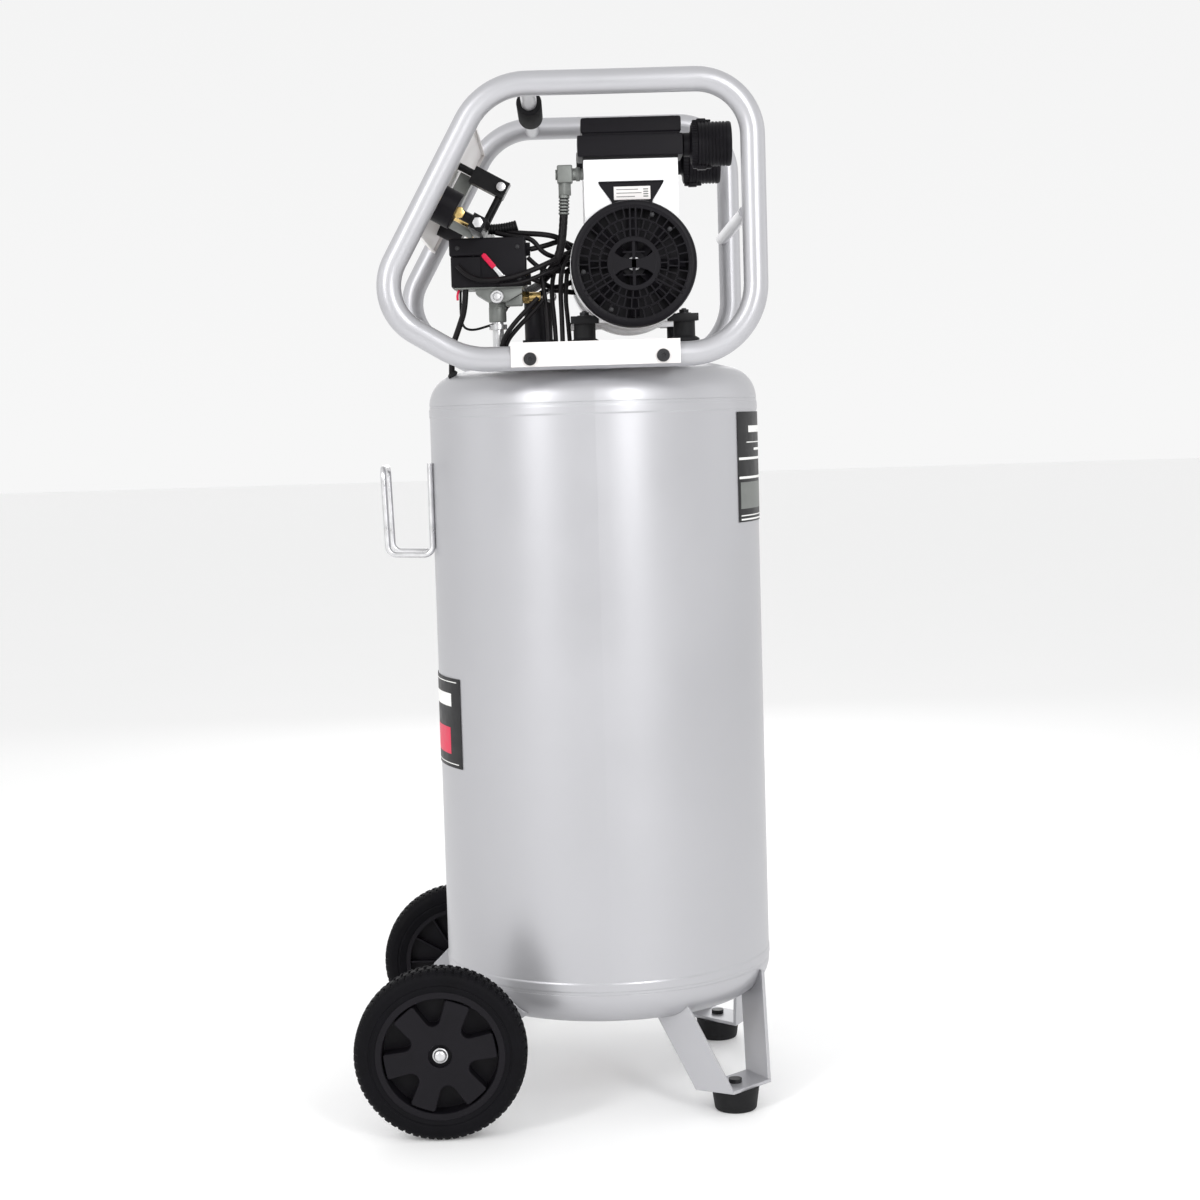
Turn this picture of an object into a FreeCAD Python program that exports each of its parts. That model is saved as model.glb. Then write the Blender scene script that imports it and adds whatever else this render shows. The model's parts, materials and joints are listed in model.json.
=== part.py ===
import FreeCAD, Part
import math
import os
import Sketcher

# Upright two-wheeled air compressor: a vertical receiver tank on two wheels and two
# bent-strap legs, with a tubular cage on top that carries an oil-free twin pump, its
# pressure switch and a slanted control panel.
# Frame: +Z up, origin on the floor under the middle of the machine, +X to the
# operator's right, the panel and the wheels on the -Y side, the legs on the +Y side.
# Places below are measured from the tank's axis, which stands SIZES["axis_y"] behind
# the origin. Lengths are millimetres and angles are degrees.

SIZES = {
    # receiver tank
    "axis_y": 50.0,
    "tank_radius": 203.2,
    "tank_wall": 3.0,
    "shell_low": 155.0,
    "shell_high": 855.0,
    "crown_radius": 750.0,
    "knuckle_radius": 40.0,
    "weld_height": 0.7,
    # tubular cage
    "cage_half_width": 200.0,
    "tube_radius": 14.3,
    "tube_wall": 1.6,
    "handle_bar_radius": 9.5,
    "grip_radius": 15.4,
    "grip_length": 130.0,
    "rear_bar_radius": 7.6,
    # tray
    "tray_top": 924.0,
    "tray_thickness": 3.0,
    "tray_front": -95.0,
    "tray_back": 100.0,
    "flange_thickness": 2.5,
    "flange_low": 896.0,
    # wheels and axle
    "wheel_radius": 101.6,
    "wheel_width": 42.0,
    "wheel_outer_face": 250.0,
    "rim_radius": 72.0,
    "axle_radius": 6.35,
    "axle_clearance": 0.06,
    "axle_y": -202.7,
    # legs and feet
    "strap_thickness": 4.0,
    "foot_height": 28.0,
    "foot_top_radius": 29.0,
    "foot_bottom_radius": 25.5,
    # twin pump
    "pump_y": 52.0,
    "pump_z": 1016.0,
    "crankcase_radius": 75.5,
    "cylinder_x": 81.0,
    "bore_radius": 25.5,
    "crank_throw": 8.0,
    "shaft_radius": 8.0,
    "motor_radius": 64.0,
    "fan_cover_radius": 74.8,
    "head_half_length": 62.75,
    "filter_radius": 26.5,
    "filter_length": 49.0,
    # control panel, in its own slanted frame
    "panel_half_width": 185.4,
    "panel_low": -40.0,
    "panel_high": 105.0,
    "panel_sheet": 2.0,
    "panel_depth": 6.0,
    "gauge_x": 130.0,
    "gauge_radius": 25.0,
    "coupler_x": 72.0,
    "control_row": 3.0,
    "knob_radius": 20.0,
    # pressure switch
    "switch_x": 57.0,
    "switch_y": -113.0,
    "switch_low": 996.5,
    "switch_high": 1055.0,
    "nipple_radius": 6.85,
    # wire hose hook
    "hook_wire_radius": 3.6,
    "hook_half_width": 40.0,
}

UP = FreeCAD.Vector(0, 0, 1)
SIDES = (1, -1)
TURNS = {
    "Z": FreeCAD.Rotation(),
    "-Z": FreeCAD.Rotation(UP, -UP),
    "X": FreeCAD.Rotation(UP, FreeCAD.Vector(1, 0, 0)),
    "-X": FreeCAD.Rotation(UP, FreeCAD.Vector(-1, 0, 0)),
    "Y": FreeCAD.Rotation(UP, FreeCAD.Vector(0, 1, 0)),
    "-Y": FreeCAD.Rotation(UP, FreeCAD.Vector(0, -1, 0)),
}


class Size(float):
    """A length that remembers the spreadsheet expression it was worked out from."""

    def __new__(cls, value, text):
        made = super().__new__(cls, value)
        made.text = text
        return made

    def __add__(self, other):
        return Size(float(self) + float(other), f"({self.text} + {text_of(other)})")

    def __radd__(self, other):
        return Size(float(other) + float(self), f"({text_of(other)} + {self.text})")

    def __sub__(self, other):
        return Size(float(self) - float(other), f"({self.text} - {text_of(other)})")

    def __rsub__(self, other):
        return Size(float(other) - float(self), f"({text_of(other)} - {self.text})")

    def __mul__(self, other):
        return Size(float(self) * float(other), f"({self.text} * {text_of(other)})")

    def __rmul__(self, other):
        return Size(float(other) * float(self), f"({text_of(other)} * {self.text})")

    def __truediv__(self, other):
        return Size(float(self) / float(other), f"({self.text} / {text_of(other)})")

    def __neg__(self):
        return Size(-float(self), f"(-{self.text})")


def text_of(value):
    return value.text if isinstance(value, Size) else repr(float(value))


doc = FreeCAD.newDocument("air_compressor")
sheet = doc.addObject("Spreadsheet::Sheet", "Sizes")
for row, (alias, number) in enumerate(SIZES.items(), 1):
    sheet.set(f"A{row}", alias)
    sheet.set(f"B{row}", str(number))
    sheet.setAlias(f"B{row}", alias)
doc.recompute()

nodes = {}


def size(alias):
    return Size(SIZES[alias], f"Sizes.{alias}")


def frame_at(x, y, z, rotation=None):
    """A frame placed from the tank's axis at floor level."""
    turn = rotation or FreeCAD.Rotation()
    return FreeCAD.Placement(FreeCAD.Vector(x, y + SIZES["axis_y"], z), turn)


MACHINE = frame_at(0, 0, 0)


# ---------------------------------------------------------------- building blocks

def bind(item, **values):
    for name, value in values.items():
        if isinstance(value, Size):
            item.setExpression(name, value.text)
        else:
            setattr(item, name, value)


def put(item, place, frame=MACHINE, axis="Z"):
    """Put an item at a place in a frame, with its own Z along an axis of that frame."""
    item.Placement = frame.multiply(FreeCAD.Placement(FreeCAD.Vector(*place), TURNS[axis]))
    return item


def box(low, high, frame=MACHINE):
    item = doc.addObject("Part::Box", "Box")
    spans = [top - bottom for bottom, top in zip(low, high)]
    bind(item, Length=spans[0], Width=spans[1], Height=spans[2])
    return put(item, low, frame)


def rod(radius, length, place, axis="Z", frame=MACHINE):
    item = doc.addObject("Part::Cylinder", "Rod")
    bind(item, Radius=radius, Height=length)
    return put(item, place, frame, axis)


def taper(radius, end_radius, length, place, axis="Z", frame=MACHINE):
    item = doc.addObject("Part::Cone", "Taper")
    bind(item, Radius1=radius, Radius2=end_radius, Height=length)
    return put(item, place, frame, axis)


def hexagon(radius, length, place, axis="Z", frame=MACHINE):
    item = doc.addObject("Part::Prism", "Hexagon")
    item.Polygon = 6
    bind(item, Circumradius=radius, Height=length)
    return put(item, place, frame, axis)


def ring(radius, thickness, place, axis="Z", frame=MACHINE):
    item = doc.addObject("Part::Torus", "Ring")
    bind(item, Radius1=radius, Radius2=thickness)
    return put(item, place, frame, axis)


def fuse(*items):
    if len(items) == 1:
        return items[0]
    joined = doc.addObject("Part::MultiFuse", "Joined")
    joined.Shapes = list(items)
    return joined


def cut(base, *tools):
    result = doc.addObject("Part::Cut", "Trimmed")
    result.Base = base
    result.Tool = fuse(*tools)
    return result


def group(items):
    """Several separate solids that share one node."""
    items = list(items)
    if len(items) == 1:
        return items[0]
    together = doc.addObject("Part::Compound", "Group")
    together.Links = items
    return together


def plain(shape):
    item = doc.addObject("Part::Feature", "Shape")
    item.Shape = shape
    return item


def keep(name, item):
    item.Label = name
    nodes[name] = item
    return item


def new_body():
    return doc.addObject("PartDesign::Body", "Body")


def new_sketch(body, plane):
    sketch = body.newObject("Sketcher::SketchObject", "Sketch")
    origin_plane = [item for item in body.Origin.OriginFeatures if item.Role == plane][0]
    sketch.AttachmentSupport = (origin_plane, [""])
    sketch.MapMode = "FlatFace"
    return sketch


def arc_between(start, end, radius):
    """Arc from start to end: a positive radius bulges to the right of the way."""
    chord = end - start
    left = FreeCAD.Vector(-chord.y, chord.x, 0).normalize()
    reach = math.sqrt(radius * radius - chord.Length ** 2 / 4)
    centre = (start + end) * 0.5 + left * math.copysign(reach, radius)
    first, last = (start, end) if radius > 0 else (end, start)
    angles = [math.atan2(point.y - centre.y, point.x - centre.x) for point in (first, last)]
    return Part.ArcOfCircle(Part.Circle(centre, UP, abs(radius)), *angles)


def outline(sketch, corners):
    """Closed anticlockwise outline. A third value on a corner is the radius of the arc that reaches it."""
    first = sketch.GeometryCount
    points = [FreeCAD.Vector(corner[0], corner[1], 0) for corner in corners]
    ends = []
    for index in range(len(corners)):
        start, end = points[index - 1], points[index]
        radius = corners[index][2] if len(corners[index]) > 2 else 0
        line = arc_between(start, end, radius) if radius else Part.LineSegment(start, end)
        sketch.addGeometry(line, False)
        ends.append((1, 2) if not radius or radius > 0 else (2, 1))
    for index, corner in enumerate(corners):
        edge, end = first + index, ends[index][1]
        following = (index + 1) % len(corners)
        sketch.addConstraint(
            Sketcher.Constraint("Coincident", edge, end, first + following, ends[following][0]))
        tie(sketch, "DistanceX", corner[0], -1, 1, edge, end)
        tie(sketch, "DistanceY", corner[1], -1, 1, edge, end)
        if len(corner) > 2:
            tie(sketch, "Radius", abs_size(corner[2]), edge)


def abs_size(value):
    return -value if value < 0 else value


def tie(sketch, kind, value, *where):
    number = sketch.addConstraint(Sketcher.Constraint(kind, *where, float(value)))
    if isinstance(value, Size):
        sketch.setExpression(f"Constraints[{number}]", value.text)


def turned(corners, place=(0, 0, 0), axis="Z", frame=MACHINE):
    """A body of revolution about its own Z: corners are (radius, height)."""
    body = new_body()
    sketch = new_sketch(body, "XZ_Plane")
    outline(sketch, corners)
    feature = body.newObject("PartDesign::Revolution", "Turned")
    feature.Profile = sketch
    feature.ReferenceAxis = (sketch, ["V_Axis"])
    feature.Angle = 360
    put(body, place, frame, axis)
    return body


def padded(corners, length, place=(0, 0, 0), axis="Z", frame=MACHINE):
    """A flat plate with the given outline, length thick along its own Z."""
    body = new_body()
    sketch = new_sketch(body, "XY_Plane")
    outline(sketch, corners)
    feature = body.newObject("PartDesign::Pad", "Plate")
    feature.Profile = sketch
    bind(feature, Length=length)
    put(body, place, frame, axis)
    return body


def bent_path(points, radii, closed=False):
    """Straight runs joined by tangent arcs through a list of points."""
    points = [FreeCAD.Vector(*point) for point in points]
    count = len(points)
    corners = range(count) if closed else range(1, count - 1)
    arcs = {}
    for number, index in enumerate(corners):
        before, here, after = points[index - 1], points[index], points[(index + 1) % count]
        back = (before - here).normalize()
        ahead = (after - here).normalize()
        half = back.getAngle(ahead) / 2
        radius = radii[number] if isinstance(radii, (list, tuple)) else radii
        trim = radius / math.tan(half)
        middle = here + (back + ahead).normalize() * (radius / math.sin(half) - radius)
        arcs[index] = (here + back * trim, middle, here + ahead * trim)
    edges = []
    runs = range(count) if closed else range(count - 1)
    for index in runs:
        following = (index + 1) % count
        start = arcs[index][2] if index in arcs else points[index]
        end = arcs[following][0] if following in arcs else points[following]
        if (end - start).Length > 1e-6:
            edges.append(Part.LineSegment(start, end).toShape())
        if following in arcs:
            edges.append(Part.Arc(*arcs[following]).toShape())
    return Part.Wire(edges)


def swept(points, radii, radius, wall=0, closed=False):
    """A bent bar, or a bent tube where a wall is given, placed from the tank's axis."""
    path = bent_path(points, radii, closed)
    first = path.Edges[0]
    start = first.valueAt(first.FirstParameter)
    heading = first.tangentAt(first.FirstParameter)

    def skin(section_radius):
        section = Part.Wire(Part.makeCircle(section_radius, start, heading))
        return path.makePipeShell([section], True, False)

    solid = skin(radius)
    area = math.pi * radius ** 2
    if wall:
        solid = solid.cut(skin(radius - wall))
        area -= math.pi * (radius - wall) ** 2
    if abs(solid.Volume / (area * path.Length) - 1) > 0.01:
        raise ValueError("a bent tube's volume is not its section times its length")
    solid.translate(MACHINE.Base)
    return plain(solid)


# ---------------------------------------------------------------- receiver tank

def head_corners(offset):
    """Outer or inner meridian of a head above its tangent plane: knuckle end and crown top."""
    crown = size("crown_radius") - offset
    knuckle = size("knuckle_radius") - offset
    centre_radius = SIZES["tank_radius"] - SIZES["knuckle_radius"]
    between = SIZES["crown_radius"] - SIZES["knuckle_radius"]
    lean = math.asin(centre_radius / between)
    join = (centre_radius + float(knuckle) * math.sin(lean), float(knuckle) * math.cos(lean))
    top = float(crown) - between * math.cos(lean)
    return crown, knuckle, join, top


def head_depth():
    return head_corners(0)[3]


def surface_height(radius):
    """Height of the head's outer face above its tangent plane at a distance from the axis."""
    centre_radius = SIZES["tank_radius"] - SIZES["knuckle_radius"]
    if radius > head_corners(0)[2][0]:
        return math.sqrt(SIZES["knuckle_radius"] ** 2 - (radius - centre_radius) ** 2)
    drop = SIZES["crown_radius"] - math.sqrt(SIZES["crown_radius"] ** 2 - radius ** 2)
    return head_depth() - drop


def tank_shell():
    outer, wall, weld = size("tank_radius"), size("tank_wall"), size("weld_height")
    low, high = size("shell_low"), size("shell_high")
    corners = [(outer - wall, low), (outer, low)]
    for bottom in (low + 3, high - 15):
        corners += [(outer, bottom), (outer + weld, bottom + 2)]
        corners += [(outer + weld, bottom + 10), (outer, bottom + 12)]
    corners += [(outer, high), (outer - wall, high)]
    return turned(corners)


def tank_head(height, axis):
    """A dished head that stands on its tangent plane and crowns along an axis."""
    outer, wall = size("tank_radius"), size("tank_wall")
    crown, knuckle, join, top = head_corners(0)
    inner_crown, inner_knuckle, inner_join, inner_top = head_corners(wall)
    return turned([
        (outer - wall, 0.0, -inner_knuckle), (outer, 0.0),
        (join[0], join[1], knuckle), (0.0, top, crown),
        (0.0, inner_top), (inner_join[0], inner_join[1], -inner_crown),
    ], (0, 0, height), axis)


def tank_envelope():
    """Everything inside the tank's outer face, for trimming what is welded to it."""
    crown, knuckle, join, top = head_corners(0)
    outer, low, high = size("tank_radius"), size("shell_low"), size("shell_high")
    return turned([
        (0.0, low - top), (join[0], low - join[1], crown), (outer, low, knuckle),
        (outer, high), (join[0], high + join[1], knuckle), (0.0, high + top, crown),
    ])


def port(x, y, radius, bore, top):
    """A boss on the top head and the hole through it."""
    height = SIZES["shell_high"] + surface_height(math.hypot(x, y))
    boss = rod(radius, top - height + 6, (x, y, height - 6))
    return boss, rod(bore, 60, (x, y, top - 50))


SWITCH_PORT = (57.0, -113.0)
CHECK_PORT = (-35.0, -115.7)
PORT_TOP = 910.0
PORT_BORE = 6.9
DRAIN_LOW = 90.2


def tank_heads():
    bosses, holes = zip(*[port(x, y, 15, PORT_BORE, PORT_TOP) for x, y in (SWITCH_PORT, CHECK_PORT)])
    keep("tank_top_head", cut(fuse(tank_head(size("shell_high"), "Z"), *bosses), *holes))
    boss = rod(13, 14, (0, 0, DRAIN_LOW))
    hole = rod(PORT_BORE, 40, (0, 0, DRAIN_LOW - 5))
    keep("tank_bottom_head", cut(fuse(tank_head(size("shell_low"), "-Z"), boss), hole))


DRAIN_Z = 81.5


def drain_valve():
    stub = rod(size("nipple_radius"), 14.5, (0, 0, DRAIN_Z))
    barrel = rod(8.5, 56, (0, 12, DRAIN_Z), "-Y")
    neck = rod(4, 6, (-6.5, -18, DRAIN_Z), "-X")
    outlet = rod(4.2, 20, (0, -24, DRAIN_Z), "-Y")
    keep("drain_valve_body", cut(fuse(stub, barrel, neck), outlet))
    hub = rod(7, 4, (-9, -18, DRAIN_Z), "-X")
    lever = box((-13, -62, DRAIN_Z - 6), (-10.5, -18, DRAIN_Z + 6))
    hole = rod(4.06, 6, (-8, -18, DRAIN_Z), "-X")
    keep("drain_valve_handle", cut(fuse(hub, lever), hole))


# ---------------------------------------------------------------- legs and wheels

LEG_ANGLE = 44.0
PLATE_INNER = (190.0, 48.0)
PLATE_OUTER = (238.4, 33.7)
STRAP_RISE = 122.0
# horizontal drift of each arm, along X and Y, for each unit of height
RIGHT_ARM_DRIFT = (-0.20, -0.50)
REAR_ARM_DRIFT = (-0.50, 0.0)


def leg_points(side):
    """Corners of the foot plate, from the front inner one, anticlockwise on the +X side."""
    angle = math.radians(LEG_ANGLE)
    radial = (math.cos(angle), math.sin(angle))
    across = (-math.sin(angle), math.cos(angle))
    corners = []
    for (reach, half), way in zip((PLATE_INNER, PLATE_OUTER, PLATE_OUTER, PLATE_INNER), (-1, -1, 1, 1)):
        x = reach * radial[0] + way * half * across[0]
        y = reach * radial[1] + way * half * across[1]
        corners.append((side * x, y))
    return corners


def slab(corners, push):
    """A solid plate from a flat polygon in space pushed along a vector."""
    points = [FreeCAD.Vector(*corner) for corner in corners]
    wire = Part.makePolygon(points + points[:1])
    return Part.Face(wire).extrude(push)


def leg(side):
    """One strap bent into a foot plate and two arms that rise to the bottom head."""
    thick, low = SIZES["strap_thickness"], SIZES["foot_height"]
    corners = leg_points(side)
    plate = slab([(x, y, low) for x, y in corners], FreeCAD.Vector(0, 0, thick))
    strap = [plate]
    middle = FreeCAD.Vector(sum(c[0] for c in corners) / 4, sum(c[1] for c in corners) / 4, low)
    for first, second, drift in ((0, 1, RIGHT_ARM_DRIFT), (3, 2, REAR_ARM_DRIFT)):
        foot = [(corners[i][0], corners[i][1], low) for i in (first, second)]
        rise = [(x + side * drift[0] * STRAP_RISE, y + drift[1] * STRAP_RISE, low + STRAP_RISE)
                for x, y, _ in foot]
        edge = FreeCAD.Vector(*foot[1]) - FreeCAD.Vector(*foot[0])
        normal = edge.cross(FreeCAD.Vector(*rise[0]) - FreeCAD.Vector(*foot[0])).normalize()
        if normal.dot(middle - FreeCAD.Vector(*foot[0])) < 0:
            normal = -normal
        strap.append(slab([foot[0], foot[1], rise[1], rise[0]], normal * thick))
    shape = strap[0].multiFuse(strap[1:]).removeSplitter()
    shape.translate(MACHINE.Base)
    return plain(shape)


def foot_centre(side):
    return side * 157.0, 146.0


def legs_and_feet():
    legs, feet, bolts = [], [], []
    envelope = tank_envelope()
    height = size("foot_height")
    plate_top = SIZES["foot_height"] + SIZES["strap_thickness"]
    for side in SIDES:
        x, y = foot_centre(side)
        hole = rod(4.3, 20, (x, y, SIZES["foot_height"] - 10))
        legs.append(cut(leg(side), envelope, hole))
        top, bottom = size("foot_top_radius"), size("foot_bottom_radius")
        pad = turned([(0.0, 0.0), (bottom - 4, 0.0), (bottom, 4.0, 4.0), (top, height), (0.0, height)],
                     (x, y, 0))
        feet.append(cut(pad, rod(4.1, 16, (x, y, height - 15))))
        shank = rod(4.0, plate_top - 15, (x, y, 14.5))
        head = rod(8.0, 5, (x, y, plate_top + 0.05))
        bolts.append(fuse(shank, head))
    keep("rear_legs", group(legs))
    keep("rubber_feet", group(feet))
    return bolts


BRACKET_X = 160.0
BRACKET_THICKNESS = 4.0


def axle_brackets():
    """Gusset plates welded under the tank's front, each with the axle's hole."""
    plates = []
    axle_y, axle_z = SIZES["axle_y"], SIZES["wheel_radius"]
    corners = [(axle_y - 31, axle_z - 12), (axle_y - 4, axle_z - 20), (-150, axle_z - 10),
               (-95, axle_z + 28), (-95, axle_z + 49), (axle_y - 8, axle_z + 33),
               (axle_y - 31, axle_z + 10)]
    for side in SIDES:
        start = side * BRACKET_X - BRACKET_THICKNESS / 2
        shape = slab([(start, y, z) for y, z in corners], FreeCAD.Vector(BRACKET_THICKNESS, 0, 0))
        shape.translate(MACHINE.Base)
        hole = rod(size("axle_radius") + 0.05, 10, (start - 3, axle_y, axle_z), "X")
        plates.append(cut(plain(shape), tank_envelope(), hole))
    keep("axle_brackets", group(plates))


CAP_LENGTH = 6.2


def axle_parts():
    reach = SIZES["wheel_outer_face"] - 4
    axle_y, axle_z = SIZES["axle_y"], SIZES["wheel_radius"]
    keep("axle", rod(size("axle_radius"), 2 * reach, (-reach, axle_y, axle_z), "X"))
    caps = []
    for side, axis in zip(SIDES, ("X", "-X")):
        start = side * (reach - 2.5)
        shell = rod(9, CAP_LENGTH, (start, axle_y, axle_z), axis)
        caps.append(cut(shell, rod(size("axle_radius") + 0.02, 2.55, (start, axle_y, axle_z), axis)))
    keep("axle_caps", group(caps))


POCKET_COUNT = 6
POCKET_DEPTH = 13.0
WHEEL_TURN = 10.0


def rim_body(side):
    """Moulded wheel centre with six pockets between its spokes, front face at +Z."""
    half = size("wheel_width") / 2
    rim, bore = size("rim_radius"), size("axle_radius") + size("axle_clearance")
    body = new_body()
    sketch = new_sketch(body, "XZ_Plane")
    outline(sketch, [
        (bore, -half), (17.0, -half), (17.0, -6.0), (rim - 6, -6.0), (rim - 6, -half + 2),
        (rim, -half + 2), (rim, half - 4), (rim + 4, half - 4), (rim + 4, half - 1),
        (rim - 4, half - 1), (rim - 8, half - 5), (26.0, half - 5), (22.0, half - 2),
        (12.0, half - 2), (12.0, half - 8), (bore, half - 8),
    ])
    feature = body.newObject("PartDesign::Revolution", "Turned")
    feature.Profile = sketch
    feature.ReferenceAxis = (sketch, ["V_Axis"])
    feature.Angle = 360
    doc.recompute()
    before = body.Shape.Volume
    sketch = new_sketch(body, "XY_Plane")
    sketch.AttachmentOffset = FreeCAD.Placement(FreeCAD.Vector(0, 0, float(half)), FreeCAD.Rotation())
    outline(sketch, [(30.0, -7.0), (60.0, -20.0), (60.0, 20.0), (30.0, 7.0)])
    pocket = body.newObject("PartDesign::Pocket", "Pocket")
    pocket.Profile = sketch
    pocket.Length = POCKET_DEPTH + 5
    pattern = body.newObject("PartDesign::PolarPattern", "Pockets")
    pattern.Originals = [pocket]
    pattern.Axis = (sketch, ["N_Axis"])
    pattern.Angle = 360
    pattern.Occurrences = POCKET_COUNT
    body.Tip = pattern
    doc.recompute()
    if body.Shape.Volume > before - 1000:
        raise ValueError("the wheel's pockets cut nothing")
    return place_wheel(body, side)


def place_wheel(body, side):
    middle = SIZES["wheel_outer_face"] - SIZES["wheel_width"] / 2
    put(body, (side * middle, SIZES["axle_y"], SIZES["wheel_radius"]), MACHINE, "X" if side > 0 else "-X")
    body.Placement = body.Placement.multiply(
        FreeCAD.Placement(FreeCAD.Vector(), FreeCAD.Rotation(UP, WHEEL_TURN)))
    return body


def tyre_body(side):
    half, rim, outer = size("wheel_width") / 2, size("rim_radius"), size("wheel_radius")
    body = turned([
        (rim + 0.02, -half + 3), (rim + 12, -half), (outer - 10, -half), (outer, -half + 10, 10.0),
        (outer, half - 10), (outer - 10, half, 10.0), (rim + 12, half), (rim + 4.3, half - 1.5),
        (rim + 4.3, half - 4.3), (rim + 0.02, half - 4.3),
    ])
    return place_wheel(body, side)


def wheels():
    for side, name in zip(SIDES, ("right", "left")):
        keep(f"wheel_rim_{name}", rim_body(side))
        keep(f"tyre_{name}", tyre_body(side))


# ---------------------------------------------------------------- cage and tray

LOOP_LOW = 906.5
LOOP_TOP = 1219.0
LOOP_BACK = 190.0
# corners of a side loop as (y, z, bend radius): bottom front, nose, top front, top back, bottom back
LOOP_CORNERS = [
    (-148.0, LOOP_LOW, 100.0),
    (-253.6, 970.7, 60.0),
    (-115.0, LOOP_TOP, 80.0),
    (LOOP_BACK, LOOP_TOP, 65.0),
    (LOOP_BACK, LOOP_LOW, 80.0),
]
HANDLE_BAR = (-67.0, 1216.0)
REAR_BAR = (180.0, 1067.0)


def side_loops():
    for side, name in zip(SIDES, ("right", "left")):
        x = side * SIZES["cage_half_width"]
        points = [(x, y, z) for y, z, _ in LOOP_CORNERS]
        radii = [radius for _, _, radius in LOOP_CORNERS]
        loop = swept(points, radii, SIZES["tube_radius"], SIZES["tube_wall"], closed=True)
        keep(f"side_loop_{name}", loop)


def cross_bars():
    """The handle bar and the rear bar, coped to the loops that they are welded to."""
    reach, tube = SIZES["cage_half_width"] - 8, size("tube_radius")
    handle = rod(size("handle_bar_radius"), 2 * reach, (-reach, HANDLE_BAR[0], HANDLE_BAR[1]), "X")
    copes = [rod(tube, 120, (side * SIZES["cage_half_width"], -127, LOOP_TOP), "Y") for side in SIDES]
    keep("top_crossbar", cut(handle, *copes))
    rear = rod(size("rear_bar_radius"), 2 * reach, (-reach, REAR_BAR[0], REAR_BAR[1]), "X")
    copes = [rod(tube, 100, (side * SIZES["cage_half_width"], LOOP_BACK, 1017)) for side in SIDES]
    keep("rear_crossbar", cut(rear, *copes))
    length = size("grip_length")
    grip = rod(size("grip_radius"), length, (-length / 2, HANDLE_BAR[0], HANDLE_BAR[1]), "X")
    hole = rod(size("handle_bar_radius") + 0.05, length + 2, (-length / 2 - 1, *HANDLE_BAR), "X")
    keep("handle_grip", cut(grip, hole))


TRAY_BOLTS = (-73.0, 80.0)
BOLT_Z = 905.0
BOLT_SHANK = 3.9


def tray_outer_x():
    return SIZES["cage_half_width"] + SIZES["tube_radius"] + 0.5 + SIZES["flange_thickness"]


def tray():
    """A folded sheet over the bottom runs of the loops, with a short lip front and back."""
    outer, sheet_low = tray_outer_x(), size("tray_top") - size("tray_thickness")
    front, back, top, low = size("tray_front"), size("tray_back"), size("tray_top"), size("flange_low")
    inner = outer - SIZES["flange_thickness"]
    deck = box((-outer, front, sheet_low), (outer, back, top))
    flanges = [box((min(side * outer, side * inner), front, low),
                   (max(side * outer, side * inner), back, top)) for side in SIDES]
    lips = [box((-170, y, top - 15), (170, y + 2.5, top)) for y in (front, back - 2.5)]
    holes = [rod(BOLT_SHANK + 0.3, 12, (side * outer - 6, y, BOLT_Z), "X")
             for side in SIDES for y in TRAY_BOLTS]
    keep("tray", cut(fuse(deck, *flanges, *lips), *holes))


def tray_bolts():
    bolts = []
    outer = tray_outer_x()
    for side, axis in zip(SIDES, ("X", "-X")):
        for y in TRAY_BOLTS:
            shank = rod(BOLT_SHANK, 3, (side * (outer - 2.9), y, BOLT_Z), axis)
            head = rod(7.5, 4, (side * (outer + 0.05), y, BOLT_Z), axis)
            socket = hexagon(3.2, 3, (side * (outer + 2), y, BOLT_Z), axis)
            bolts.append(cut(fuse(shank, head), socket))
    return bolts


SADDLE_X = 178.0
SADDLE_HALF = 20.5


def saddle_bracket():
    """A strap folded into a bridge, welded to the top head, that carries the tray."""
    top = size("tray_top") - size("tray_thickness")
    deck = box((-SADDLE_X, -SADDLE_HALF, top - 4), (SADDLE_X, SADDLE_HALF, top))
    ends = [box((min(side * SADDLE_X, side * (SADDLE_X - 4)), -SADDLE_HALF, 870),
                (max(side * SADDLE_X, side * (SADDLE_X - 4)), SADDLE_HALF, top)) for side in SIDES]
    keep("saddle_bracket", cut(fuse(deck, *ends), tank_envelope()))


def hose_hook():
    """One wire bent into two hooks that are joined across their tips."""
    half, wire = SIZES["hook_half_width"], SIZES["hook_wire_radius"]
    root = -math.sqrt((SIZES["tank_radius"] + wire + 0.02) ** 2 - half ** 2)
    side_points = [(root, 786.0), (root, 673.0), (-258.0, 675.0), (-261.0, 781.0)]
    points = [(half, y, z) for y, z in side_points]
    points += [(-half, y, z) for y, z in reversed(side_points)]
    keep("hose_hook", swept(points, 11.0, wire))


# ---------------------------------------------------------------- control panel

nose, top_front = LOOP_CORNERS[1], LOOP_CORNERS[2]
PANEL_TILT = math.degrees(math.atan2(top_front[1] - nose[1], top_front[0] - nose[0]))
PANEL = frame_at(0, (nose[0] + top_front[0]) / 2, (nose[1] + top_front[1]) / 2,
                 FreeCAD.Rotation(FreeCAD.Vector(1, 0, 0), PANEL_TILT))
GAUGE_BODY = 22.5
GAUGE_BACK = -31.0
COUPLER_BODY = 7.0
REGULATOR_NECK = 11.0
MANIFOLD_FACE = -51.0


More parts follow.
